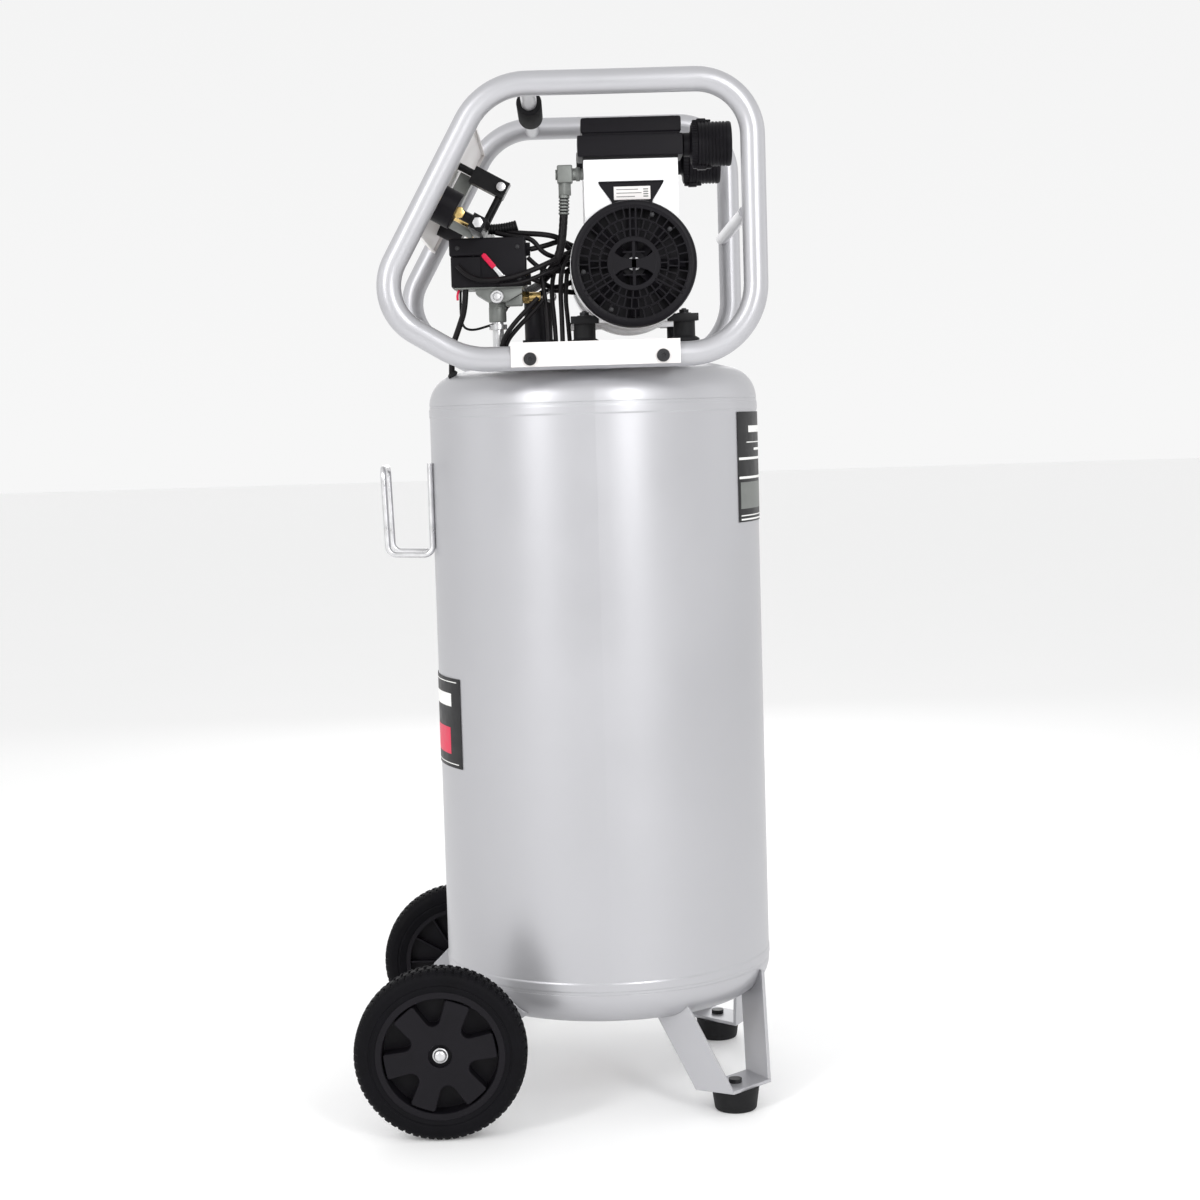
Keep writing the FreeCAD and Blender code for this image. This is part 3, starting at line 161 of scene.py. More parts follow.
class Tree:
    """A short way to write a material's nodes."""

    def __init__(self, name):
        self.material = bpy.data.materials.new(name)
        self.material.use_nodes = True
        self.nodes = self.material.node_tree.nodes
        self.links = self.material.node_tree.links
        self.shader = self.nodes["Principled BSDF"]

    def add(self, kind, inputs=None, **settings):
        node = self.nodes.new("ShaderNode" + kind)
        for key, value in settings.items():
            setattr(node, key, value)
        for key, value in (inputs or {}).items():
            self.put(node, key, value)
        return node

    def put(self, node, key, value):
        if isinstance(value, bpy.types.NodeSocket):
            self.links.new(value, node.inputs[key])
        else:
            node.inputs[key].default_value = value

    def place(self, stretch=1):
        where = self.add("TexCoord").outputs["Object"]
        inputs = {"Vector": where, "Scale": (1, 1, stretch)}
        return self.add("Mapping", inputs).outputs["Vector"]

    def noise(self, where, scale, detail, rough=0.55):
        inputs = {"Vector": where, "Scale": scale, "Detail": detail, "Roughness": rough}
        return self.add("TexNoise", inputs).outputs["Fac"]

    def spread(self, value, low, high, start=0.3, end=0.7):
        """A value between start and end, spread from low to high."""
        inputs = {"Value": value, "From Min": start, "From Max": end, "To Min": low, "To Max": high}
        return self.add("MapRange", inputs).outputs["Result"]

    def blend(self, share, first, second):
        node = self.add("Mix", {"Factor": share}, data_type="RGBA")
        self.put(node, 6, first)
        self.put(node, 7, second)
        return node.outputs[2]

    def shade(self, inputs):
        for key, value in inputs.items():
            self.put(self.shader, key, value)
        return self.material


def rgba(colour, gain):
    return (*[min(1, part * gain) for part in colour], 1)


WHITE = (1, 1, 1, 1)
DUST = (0.24, 0.23, 0.22, 1)
SPECK_SCALE = 260
DUST_SCALE = 34
SMEAR_SCALE = 60
WORN_FROM, WORN_TO = 0.75, 0.985
ROUGH_VARY = 0.06
COAT_ROUGHNESS = 0.18
GLASS_ALPHA = 0.12
FLOOR_GLOW = 0.1


def finish_of(
    name, colour, rough, metal=0, patch=9, vary=0.06, grain=900, depth=20, stretch=1,
    edge=0.6, wear=1.25, coat=0, shine=0.5, grime=0,
):
    """A painted, moulded, cast or brushed surface with uneven tone, a grain and worn edges.

    The grain's depth is in micrometres, the worn edge's radius in millimetres.
    """
    t = Tree(name)
    where = t.place()
    cloud = t.noise(where, patch, 4)
    tone = t.blend(t.spread(cloud, 0, 1), rgba(colour, 1 - vary), rgba(colour, 1 + vary))
    soft = t.add("Bevel", {"Radius": edge * MM}, samples=4).outputs["Normal"]
    flat = t.add("NewGeometry").outputs["Normal"]
    turned = t.add("VectorMath", {0: soft, 1: flat}, operation="DOT_PRODUCT")
    worn = t.spread(turned.outputs["Value"], 1, 0, WORN_FROM, WORN_TO)
    speck = t.spread(t.noise(where, SPECK_SCALE, 3), 0.25, 1, 0.4, 0.6)
    share = t.add("Math", {0: worn, 1: speck}, operation="MULTIPLY").outputs["Value"]
    tone = t.blend(share, tone, rgba(colour, wear))
    if grime:
        dust = t.spread(t.noise(where, DUST_SCALE, 6, 0.7), 0, grime, 0.52, 0.75)
        tone = t.blend(dust, tone, DUST)
    gloss = t.spread(cloud, rough - ROUGH_VARY, rough + ROUGH_VARY)
    fine = t.noise(t.place(stretch), grain, 2)
    height = {"Height": fine, "Distance": depth * MM * MM, "Strength": 1, "Normal": soft}
    return t.shade({
        "Base Color": tone,
        "Roughness": gloss,
        "Metallic": metal,
        "Specular IOR Level": shine,
        "Coat Weight": coat,
        "Coat Roughness": COAT_ROUGHNESS,
        "Normal": t.add("Bump", height).outputs["Normal"],
    })


def glass_of(name):
    """A clear lens with faint smears."""
    t = Tree(name)
    smear = t.spread(t.noise(t.place(), SMEAR_SCALE, 4), 0.01, 0.06)
    return t.shade({"Base Color": WHITE, "Roughness": smear, "Alpha": GLASS_ALPHA})


MATERIALS = {
    "tank_paint": finish_of("silver_paint", (0.455, 0.455, 0.475), 0.38, metal=0.55, patch=5,
        vary=0.02, grain=1400, depth=12, edge=1.2, wear=1.1, coat=0.1),
    "tray_paint": finish_of("warm_white_paint", (0.79, 0.76, 0.75), 0.42, vary=0.02, grain=700,
        depth=10, edge=0.8, wear=1.08),
    "zinc": finish_of("zinc_plate", (0.66, 0.66, 0.67), 0.32, metal=1, patch=70, vary=0.1,
        grain=1600, depth=8),
    "black_bolt": finish_of("black_oxide", (0.028, 0.028, 0.03), 0.4, metal=0.6, patch=120,
        vary=0.2, wear=6, edge=0.4),
    "rubber": finish_of("moulded_rubber", (0.008, 0.008, 0.009), 0.62, patch=45, vary=0.2,
        grain=1500, depth=40, wear=2.2, shine=0.22, grime=0.03),
    "tyre": finish_of("tyre_rubber", (0.0032, 0.003, 0.0042), 0.6, patch=40, vary=0.25,
        grain=1200, depth=50, wear=1.8, shine=0.09, grime=0.006),
    "foam": finish_of("foam_grip", (0.01, 0.01, 0.011), 0.85, patch=60, vary=0.2, grain=1900,
        depth=160, wear=1.6, shine=0.15),
    "black_plastic": finish_of("black_moulding", (0.0062, 0.0055, 0.0075), 0.46, patch=30,
        vary=0.12, grain=1800, depth=30, wear=2.8, shine=0.14),
    "brass": finish_of("turned_brass", (0.7, 0.5, 0.2), 0.26, metal=1, patch=90, vary=0.12,
        depth=10, stretch=6),
    "steel": finish_of("machined_steel", (0.56, 0.56, 0.57), 0.28, metal=1, patch=80, vary=0.08,
        grain=1300, depth=10, stretch=8),
    "cast_silver": finish_of("bright_casting", (0.86, 0.86, 0.87), 0.45, metal=0.15, patch=60,
        vary=0.02, depth=60, edge=1, wear=1.05),
    "die_cast": finish_of("grey_casting", (0.2, 0.21, 0.2), 0.46, metal=0.6, patch=90, vary=0.12,
        grain=1100, depth=60, wear=1.8),
    "black_metal": finish_of("black_anodised", (0.008, 0.008, 0.009), 0.4, patch=70, vary=0.15,
        wear=5, edge=0.5, shine=0.18),
    "red_lever": finish_of("red_moulding", (0.66, 0.008, 0.06), 0.4, patch=80, wear=1.2,
        shine=0.3),
    "dial_white": finish_of("dial_paper", (0.84, 0.84, 0.82), 0.5, patch=80, vary=0.015, depth=4),
    "needle": finish_of("needle_paint", (0.03, 0.03, 0.03), 0.4, patch=90, vary=0.1),
    "lens": glass_of("clear_lens"),
    "aluminium": finish_of("machined_aluminium", (0.72, 0.72, 0.73), 0.3, metal=1, patch=70,
        grain=1400, depth=10, stretch=6),
    "cable": finish_of("cable_sheath", (0.006, 0.005, 0.006), 0.42, patch=50, vary=0.2, grain=1500,
        wear=1.5, shine=0.18),
}
FLOOR_MATERIAL = finish_of("pale_floor", (0.9, 0.9, 0.9), 0.6, patch=1.2, vary=0.006, depth=10,
        wear=1)
floor_shader = FLOOR_MATERIAL.node_tree.nodes["Principled BSDF"]
floor_shader.inputs["Emission Color"].default_value = WHITE
floor_shader.inputs["Emission Strength"].default_value = FLOOR_GLOW

for part in frame["record"]["subparts"]:
    mesh = frame["nodes"][part["node"]].data
    mesh.materials.clear()
    mesh.materials.append(MATERIALS[part["material_slot"]])


# ---- building pieces

TINY = 1e-6
BEVEL_PROFILE = 0.6


def facing(origin, out, up=UP):
    """Millimetres in a local frame whose Z points out and whose Y points up, to metres."""
    out = Vector(out).normalized()
    side = Vector(up).cross(out).normalized()
    turn = Matrix((side, out.cross(side), out)).transposed().to_4x4()
    return Matrix.Translation(origin) @ turn @ Matrix.Scale(MM, 4)


def turned_by(where, degrees):
    return where @ Matrix.Rotation(math.radians(degrees), 4, "Z")


def moved_by(where, x, y, z):
    return where @ Matrix.Translation((x, y, z))


def polar(radius, degrees):
    turn = math.radians(degrees)
    return radius * math.cos(turn), radius * math.sin(turn)


def mirrored(first, middle=()):
    """An outline or a profile that runs back along its own mirror image."""
    return [*first, *middle, *[(x, -y) for x, y in reversed(first)]]


# SITE counts millimetres from the tank's axis at floor level. SECTION is the same place
# seen from the operator's right: its X is the machine's Y, its Y is up and its Z is the
# machine's X. CONTROL lies on the slanted panel at the middle of its row of fittings.
SITE = Matrix.Translation(at(0, 0, 0)) @ Matrix.Scale(MM, 4)
SECTION = facing(at(0, 0, 0), RIGHT)
KNOB_JOINT = joint_where("name", "regulator_knob_turn")
KNOB_JOINT_HEIGHT = 18
SLANT = Vector(KNOB_JOINT["axis"]).normalized()
CONTROL = facing(Vector(KNOB_JOINT["pos_m"]) - KNOB_JOINT_HEIGHT * MM * SLANT, SLANT)


class Piece:
    """Closed shapes gathered into one mesh."""

    def __init__(self):
        self.verts = []
        self.faces = []

    def take(self, bm, where):
        base = len(self.verts)
        bm.verts.index_update()
        self.verts += [where @ vert.co for vert in bm.verts]
        self.faces += [[base + vert.index for vert in face.verts] for face in bm.faces]
        bm.free()

    def lathe(self, profile, where, steps=48, shape=None):
        """A profile of (radius, height) turned about the local Z, closed at its ends."""
        bm = bmesh.new()
        rings = []
        for radius, height in profile:
            if radius < TINY:
                rings.append([bm.verts.new((0, 0, height))] * steps)
                continue
            ring = []
            for step in range(steps):
                reach = radius + (shape(radius, height, step) if shape else 0)
                ring.append(bm.verts.new((*polar(reach, 360 * step / steps), height)))
            rings.append(ring)
        closed = profile[0][0] > TINY and profile[-1][0] > TINY
        pairs = list(zip(rings, rings[1:])) + ([(rings[-1], rings[0])] if closed else [])
        for low, high in pairs:
            for step in range(steps):
                after = (step + 1) % steps
                corners = []
                for vert in (low[step], low[after], high[after], high[step]):
                    if vert not in corners:
                        corners.append(vert)
                bm.faces.new(corners)
        self.take(bm, where)

    def peg(self, radius, low, high, where, steps=32, ease=(0, 0)):
        """A round pin from low to high, eased inwards and downwards at its outer end."""
        end = [(radius, high - ease[1]), (radius - ease[0], high)] if ease[0] else [(radius, high)]
        self.lathe([(0, low), (radius, low), *end, (0, high)], where, steps)

    def rings(self, loops, where, closed=False):
        """Loops with the same number of points, skinned from each to the next."""
        bm = bmesh.new()
        made = [[bm.verts.new(point) for point in loop] for loop in loops]
        pairs = list(zip(made, made[1:])) + ([(made[-1], made[0])] if closed else [])
        for low, high in pairs:
            for index in range(len(low)):
                after = (index + 1) % len(low)
                bm.faces.new((low[index], low[after], high[after], high[index]))
        if not closed:
            bm.faces.new(list(reversed(made[0])))
            bm.faces.new(made[-1])
        bmesh.ops.recalc_face_normals(bm, faces=bm.faces)
        self.take(bm, where)

    def prism(self, outline, low, high, where, bevel=0, segments=2):
        """A polygon pushed along the local Z, with rounded edges."""
        bm = bmesh.new()
        bottom = [bm.verts.new((x, y, low)) for x, y in outline]
        top = [bm.verts.new((x, y, high)) for x, y in outline]
        bm.faces.new(list(reversed(bottom)))
        bm.faces.new(top)
        count = len(outline)
        for index in range(count):
            after = (index + 1) % count
            bm.faces.new((bottom[index], bottom[after], top[after], top[index]))
        bmesh.ops.recalc_face_normals(bm, faces=bm.faces)
        if bevel:
            bmesh.ops.bevel(
                bm, geom=list(bm.edges), offset=bevel, segments=segments, affect="EDGES",
                profile=BEVEL_PROFILE, clamp_overlap=True,
            )
        self.take(bm, where)

    def block(self, low, high, where, bevel=0, segments=2):
        outline = [(low[0], low[1]), (high[0], low[1]), (high[0], high[1]), (low[0], high[1])]
        self.prism(outline, low[2], high[2], where, bevel, segments)

    def hexagon(self, reach, low, high, where, bevel=0.5):
        self.prism([polar(reach, 60 * k) for k in range(6)], low, high, where, bevel)

    def tube(self, path, radius, sides=14, shape=None):
        """A tube along close points in metres, capped at both ends."""
        normal = (path[1] - path[0]).orthogonal().normalized()
        loops = []
        travelled = 0
        for index, point in enumerate(path):
            before = path[max(index - 1, 0)]
            after = path[min(index + 1, len(path) - 1)]
            along = (after - before).normalized()
            normal = (normal - along * normal.dot(along)).normalized()
            across = along.cross(normal)
            if index:
                travelled += (point - path[index - 1]).length / MM
            loop = []
            for side in range(sides):
                angle = 2 * math.pi * side / sides
                reach = radius + (shape(angle, travelled) if shape else 0)
                offset = (normal * math.cos(angle) + across * math.sin(angle)) * reach * MM
                loop.append(point + offset)
            loops.append(loop)
        self.rings(loops, Matrix())

    def publish(self, name, slot, replaced=(), body="frame", smooth=35):
        """The mesh as a piece that rides on a body and stands in for CAD nodes."""
        mesh = bpy.data.meshes.new(name)
        mesh.from_pydata([tuple(vert) for vert in self.verts], [], self.faces)
        mesh.validate()
        mesh.shade_smooth()
        mesh.set_sharp_from_angle(angle=math.radians(smooth))
        mesh.materials.append(MATERIALS[slot])
        obj = bpy.data.objects.new(name, mesh)
        bpy.context.scene.collection.objects.link(obj)
        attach(obj, body)
        if replaced:
            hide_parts(*replaced)


def once(side, node):
    """The right one of two mirrored pieces stands in for the node that holds them both."""
    return [node] if side > 0 else []


ROUTE_ORDER = 3


def smooth_path(places, resolution=10):
    """Close points in metres along the NURBS spline of a route in the tank's millimetres."""
    data = bpy.data.curves.new("route", "CURVE")
    data.dimensions = "3D"
    data.resolution_u = resolution
    spline = data.splines.new("NURBS")
    spline.points.add(len(places) - 1)
    for point, place in zip(spline.points, places):
        point.co = (*at(*place), 1)
    spline.order_u = ROUTE_ORDER
    spline.use_endpoint_u = True
    holder = bpy.data.objects.new("route", data)
    bpy.context.scene.collection.objects.link(holder)
    line = bpy.data.meshes.new_from_object(holder)
    path = [vert.co.copy() for vert in line.vertices]
    bpy.data.objects.remove(holder)
    bpy.data.curves.remove(data)
    bpy.data.meshes.remove(line)
    return path


# ---- wheels

TREAD_PITCHES = 66
STEPS_PER_PITCH = 8
GROOVE = 2.3
SEAT = 72.1


def tyre(name, side):
    """A solid tyre with three rows of tread blocks and a grooved sidewall."""
    node = f"tyre_{name}"
    outer, half = half_size(node, Z), half_size(node, X)
    wall = [
        (SEAT, -half + 3), (SEAT + 7, -half + 0.6), (SEAT + 9, -half + 0.2),
        (SEAT + 10, -half + 0.9), (SEAT + 11.2, -half + 0.9), (SEAT + 12.2, -half + 0.1),
        (outer - 12, -half), (outer - 9.6, -half + 0.1),
    ]
    shoulder = [(outer - 6.2, -half + 1.4), (outer - 2.6, -half + 4.4), (outer - 0.4, -half + 9)]
    crown = [(outer - 0.1, -half + across) for across in (12.2, 12.9, 14.6, 15.3)]
    profile = mirrored(wall + shoulder + crown)

    def tread(radius, height, step):
        phase = step % STEPS_PER_PITCH
        reach = abs(height)
        if radius < outer - 3 or reach > half - 4:
            return 0
        if half - 15 < reach < half - 12.5 and radius > outer - 1:
            return -GROOVE
        if reach <= half - 14.9:
            return -GROOVE if phase in (0, 1) else 0
        return -GROOVE * (0.55 if radius < outer - 1 else 1) if phase in (4, 5) else 0

    piece = Piece()
    piece.lathe(profile, facing(middle(node), side * RIGHT), TREAD_PITCHES * STEPS_PER_PITCH, tread)
    piece.publish(f"treaded_tyre_{name}", "tyre", [node], f"wheel_{name}", 28)


SPOKE_TURN = 10
SPOKE_COUNT = 6
VALLEY_REACH = 45
VALLEY_RADIUS = 9
VALLEY_STEPS = 8
HALF_ARM = [(39, 13.5), (55, 14.4), (63.4, 15), (65.3, 13), (65.7, 6)]
HUB_BORE, HUB_RADIUS, HUB_RECESS = 6.45, 17.2, 13.7
RIBS_BEHIND = 12


def spoke_outline(inset):
    """Flat spokes with square ends, joined by rounded valleys."""
    points = []
    for index in range(SPOKE_COUNT):
        heading = SPOKE_TURN + 360 * index / SPOKE_COUNT
        turn = Matrix.Rotation(math.radians(heading), 2)
        side = [Vector((x - inset * (x > 60), y - inset * (x < 65))) for x, y in HALF_ARM]
        points += [turn @ Vector((corner.x, -corner.y)) for corner in side]
        points += [turn @ corner for corner in reversed(side)]
        centre = Vector(polar(VALLEY_REACH, heading + 180 / SPOKE_COUNT))
        for step in range(1, VALLEY_STEPS):
            angle = heading + 270 - 120 * step / VALLEY_STEPS
            points.append(centre + Vector(polar(VALLEY_RADIUS + inset, angle)))
    return points


def rim(name, side):
    """A moulded wheel centre: six spokes over deep pockets, a sunk hub and a ribbed back."""
    node = f"tyre_{name}"
    half = half_size(node, X)
    where = facing(middle(node), side * RIGHT)
    front = half - 2.4
    sharp, eased = spoke_outline(0), spoke_outline(0.9)

    def loop(points, height):
        return [(point.x, point.y, height) for point in points]

    def circle(radius, height):
        return [(*(point.normalized() * radius), height) for point in sharp]

    piece = Piece()
    piece.rings(
        [circle(HUB_RECESS, half - 9.6), circle(HUB_RECESS, front - 0.9), circle(14.6, front),
         loop(eased, front), loop(sharp, front - 0.9), loop(sharp, -4.6), circle(HUB_RECESS, -4.6)],
        where, closed=True,
    )
    piece.lathe([(HUB_BORE, -half + 0.3), (16.5, -half + 0.3), (HUB_RADIUS, -4),
                 (HUB_RADIUS, half - 9.5), (HUB_BORE, half - 9.5)], where, 48)
    piece.lathe([(16.8, -5.5), (67.5, -5.5), (67.5, -3.8), (16.8, -3.8)], where, 72)
    piece.lathe(
        [(66.4, -half + 2.5), (72.02, -half + 2.5), (72.02, half - 4.4), (76.2, half - 4.4),
         (76.2, half - 1.6), (75.4, half - 0.9), (69.2, half - 0.9), (68.2, half - 2),
         (67.2, -3.8), (66.4, -4)],
        where, 96,
    )
    for index in range(RIBS_BEHIND):
        turn = turned_by(where, 360 / RIBS_BEHIND * index)
        piece.block((16, -1.2, -half + 4), (67, 1.2, -5), turn, 0.4, 1)
    piece.publish(f"spoked_rim_{name}", "black_plastic", [f"wheel_rim_{name}"], f"wheel_{name}", 30)


def axle_cap(name, side):
    """A domed push nut over the axle's end, in the recess of the hub."""
    low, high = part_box("axle_caps")
    spot = middle("axle")
    spot.x = high.x if side > 0 else low.x
    piece = Piece()
    piece.lathe(
        [(0, -6.2), (9, -6.2), (9, -5.2), (7.6, -4.8), (7.2, -2.6), (5.6, -0.9), (3, -0.15), (0, 0)],
        facing(spot, side * RIGHT), 36,
    )
    piece.publish(f"push_nut_{name}", "zinc", once(side, "axle_caps"))


# ---- pump

PUMP = middle("crankshaft")


def pump_face(side, x):
    """A plane square to the shaft, whose X runs to the machine's back on both sides."""
    turn = Matrix(((0, 0, side), (1, 0, 0), (0, 1, 0))).to_4x4()
    return Matrix.Translation((side * x * MM, PUMP.y, PUMP.z)) @ turn @ Matrix.Scale(MM, 4)


def sector(inner, outer, start, end, count):
    """The outline of a piece of a ring between two angles in degrees."""
    angles = [start + (end - start) * k / count for k in range(count + 1)]
    return [polar(outer, a) for a in angles] + [polar(inner, a) for a in reversed(angles)]


COVER_BACK = 112.2
COVER_FACE = 3
HEAVY_RIBS = (90, 210, 330)
HEAVY_CLEAR = 5.5
# heading in degrees and distance from the shaft
COVER_SCREWS = ((68, 60.5), (-118, 60.5), (188, 60.5), (42, 58))


def fan_cover(name, side):
    """A moulded cup whose face is a grille of rings, staggered ribs and a bow-tie hub."""
    outer = half_size("fan_covers", Z)
    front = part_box("fan_covers")[1].x / MM
    depth = front - COVER_BACK
    where = pump_face(side, front)
    piece = Piece()
    piece.lathe(
        [(outer - 2.5, -depth), (outer, -depth), (outer, -4.5), (outer - 1.2, -1.6),
         (outer - 4, -0.1), (outer - 6.2, 0), (outer - 7.4, -0.8), (outer - 9, -1),
         (outer - 10.2, -1.4), (outer - 10.2, -COVER_FACE - 1), (outer - 2.5, -COVER_FACE - 1)],
        where, 96,
    )
    for mean, half, top in ((28.8, 3, 0), (40.6, 1, -0.9), (53, 1, -0.9)):
        piece.lathe(
            [(mean - half, -COVER_FACE), (mean + half, -COVER_FACE), (mean + half, top - 0.4),
             (mean + half - 0.5, top), (mean - half + 0.5, top), (mean - half, top - 0.4)],
            where, 72,
        )
    for near, far, count, shift in ((31, 40.6, 27, 0), (40.2, 53, 36, 5), (52.6, 67, 36, 0)):
        for index in range(count):
            angle = shift + 360 * index / count
            if any(abs((angle - heavy + 180) % 360 - 180) < HEAVY_CLEAR for heavy in HEAVY_RIBS):
                continue
            turn = turned_by(where, angle)
            piece.block((near, -0.85, -COVER_FACE), (far, 0.85, -0.9), turn, 0.25, 1)
    for heavy in HEAVY_RIBS:
        turn = turned_by(where, heavy)
        for offset in (-3.4, 3.4):
            piece.block((30, offset - 1.1, -COVER_FACE), (67.5, offset + 1.1, 0), turn, 0.35, 1)
    wing = [(-3, -5), (8, -5.6), (16, -8.2), (22, -12.6), (25.5, -13), (27.6, -7)]
    for flip in (0, 180):
        turn = turned_by(where, flip)
        piece.prism(mirrored(wing, [(28.2, 0)]), -COVER_FACE, -0.4, turn, 0.4, 1)
        piece.block((-1.8, 4, -COVER_FACE), (1.8, 27, -0.8), turn, 0.3, 1)
        piece.block((-13, 12.5, -COVER_FACE), (13, 14.3, -1.2), turn, 0.3, 1)
    back, rim_edge = -depth + 0.2, outer - 2
    piece.lathe([(12, back), (rim_edge, back), (rim_edge, back + 1.2), (12, back + 1.2)], where, 64)
    piece.publish(f"fan_grille_{name}", "black_plastic", once(side, "fan_covers"))
    screws = Piece()
    for heading, reach in COVER_SCREWS:
        screw_head(screws, moved_by(where, *polar(reach, heading), 0), 2.9)
    screws.publish(f"cover_screws_{name}", "black_bolt")


SCREW_TOP = 1.6


def screw_head(piece, where, radius):
    """A pan head with a raised cross."""
    piece.lathe(
        [(0, -3.5), (radius, -3.5), (radius, SCREW_TOP * 0.4), (radius * 0.75, SCREW_TOP * 0.9),
         (radius * 0.4, SCREW_TOP), (0, SCREW_TOP)],
        where, 20,
    )
    arm, half_width = radius * 0.55, 0.28 * radius / 3
    for flip in (0, 90):
        piece.block((-arm, -half_width, SCREW_TOP), (arm, half_width, SCREW_TOP + 0.12),
                    turned_by(where, flip))


PUMP_NEAR = 46


def pump_head(name, side):
    """A finned lower head and a smooth cover held by six bolts."""
    low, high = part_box("cylinder_heads")
    half = half_size("cylinder_heads", Y)
    y = (middle("cylinder_heads").y - AXIS_Y) / MM
    where = moved_by(SITE, side * PUMP_NEAR, y, low.z / MM)
    width = high.x / MM - PUMP_NEAR
    x_low, x_high = (0, width) if side > 0 else (-width, 0)
    top = (high.z - low.z) / MM
    piece = Piece()
    piece.block((x_low, -half, 0), (x_high, half, 25), where, 1.8, 3)
    piece.block((x_low + 3, -half + 6, 24), (x_high - 3, half - 4, 28.5), where, 0.4, 1)
    piece.block((x_low + 1, -half + 4.5, 27), (x_high - 1, half - 2, top - 0.4), where, 3.4, 3)
    for index in range(5):
        y = -half + 24 + index * (half - 25) / 2
        piece.block((x_low + 14, y - 1.2, top - 0.8), (x_high - 14, y + 1.2, top - 0.1), where, 0.25, 1)
    piece.publish(f"pump_head_{name}", "black_plastic", once(side, "cylinder_heads"))
    bolts = Piece()
    for x in (x_low + 10, x_high - 10):
        for y in (-half + 13, 1.5, half - 12):
            bolts.lathe(
                [(0, -3), (4, -3), (4, 0.1), (3.5, 0.5), (2.2, 0.5), (2.2, -1.6), (0, -1.6)],
                moved_by(where, x, y, top - 0.4), 24,
            )
    bolts.publish(f"head_bolts_{name}", "black_bolt")
    gasket = Piece()
    gasket.block((x_low + 3.5, -half + 6.2, -3.4), (x_high - 5.6, half - 6.2, 0.4), where, 0.3, 1)
    gasket.publish(f"head_gasket_{name}", "rubber")


DRUM_RADIUS = 26.5
DRUM_X = 98
RIB_PITCH = 4.2
NECK_RIBS = 40


def air_filter(name, side):
    """A ribbed two-part drum on a neck, with a snap clip above and below."""
    low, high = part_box("air_filters")
    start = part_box("cylinder_heads")[1].y
    where = facing(Vector((side * DRUM_X * MM, start, low.z + DRUM_RADIUS * MM)), BACK)
    piece = Piece()
    length = (high.y - start) / MM
    profile = [(0, -6), (8.9, -6), (8.9, 0.2), (12, 0.4), (14, 1.2), (14, 8), (16.5, 9.6),
               (22.5, 9.9), (24.2, 10.6), (24.2, 17.5), (25.6, 18.2)]
    edge = 18.2
    while edge < length - 8.5:
        profile += [(26.4, edge + 0.3), (26.4, edge + 2.6), (25.5, edge + 2.9),
                    (25.5, edge + RIB_PITCH)]
        edge += RIB_PITCH
    profile += [(26.4, edge + 0.4), (26.4, length - 2.4), (25.2, length - 0.5), (22.5, length),
                (19, length - 0.2), (18.2, length - 1.6), (8, length - 1.6), (7.2, length - 0.6),
                (0, length - 0.6)]
    piece.lathe(profile, where, 60)
    for index in range(NECK_RIBS):
        turn = turned_by(where, 360 / NECK_RIBS * index)
        piece.block((23.2, -0.7, 10.8), (25.3, 0.7, 17.4), turn, 0.2, 1)
    for flip in (90, -90):
        turn = turned_by(where, flip)
        piece.block((24.6, -5.6, 17), (30, 5.6, 28), turn, 1.2)
        piece.block((24.6, -4, 12), (28.6, 4, 34), turn, 1)
    piece.publish(f"filter_drum_{name}", "black_plastic", once(side, "air_filters"))


def motor():
    """Clamp bands round the motor's can, where the pumps' castings meet it."""
    radius, half = half_size("motor_can", Z), half_size("motor_can", X)
    where = facing(middle("motor_can"), RIGHT)
    bands = Piece()
    for centre in (-half + 9, half - 9):
        bands.lathe(
            [(radius - 1, centre - 1.6), (radius + 0.5, centre - 1.2), (radius + 0.5, centre + 1.2),
             (radius - 1, centre + 1.6)], where, 96,
        )
    bands.publish("motor_bands", "steel")


RULE_TOP, RULE_PITCH = 88.6, 4.2
TALLY_LOW, TALLY_PITCH = 79.5, 2.8


def shroud(name, side):
    """A black trapezoid over the cast window above the fan, with a blank data plate on it."""
    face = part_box("crankcases")[1].x / MM
    where = pump_face(side, face)
    piece = Piece()
    piece.prism([(-39, 97), (-38, 94.5), (-24.5, 75.5), (-22.5, 70), (24, 70), (25, 75.5),
                 (37, 94), (38.5, 97)], 0.02, 1.6, where, 0.4, 1)
    piece.prism([(-39, 97), (-39, 98.6), (38.5, 98.6), (38.5, 97)], 0.02, 2.6, where, 0.4, 1)
    piece.publish(f"fan_shroud_{name}", "black_plastic")
    plate = Piece()
    plate.block((-21, 76.5, 1.4), (22.5, 92.2, 2.2), where, 0.3, 1)
    plate.publish(f"blank_plate_{name}", "tray_paint")
    lines = Piece()
    for row, end in enumerate((8, 12, 4)):
        height = RULE_TOP - RULE_PITCH * row
        lines.block((-18, height - 0.5, 2.1), (end, height + 0.5, 2.26), where)
    for index in range(4):
        height = TALLY_LOW + TALLY_PITCH * index
        lines.block((14, height, 2.1), (20, height + 1.5, 2.26), where)
    lines.publish(f"plate_rules_{name}", "die_cast")


# ---- pressure switch

SWITCH_X = 57
SWITCH_HALF = 32.5
LID_LINE = 1033.7
STEP_BACK = 37


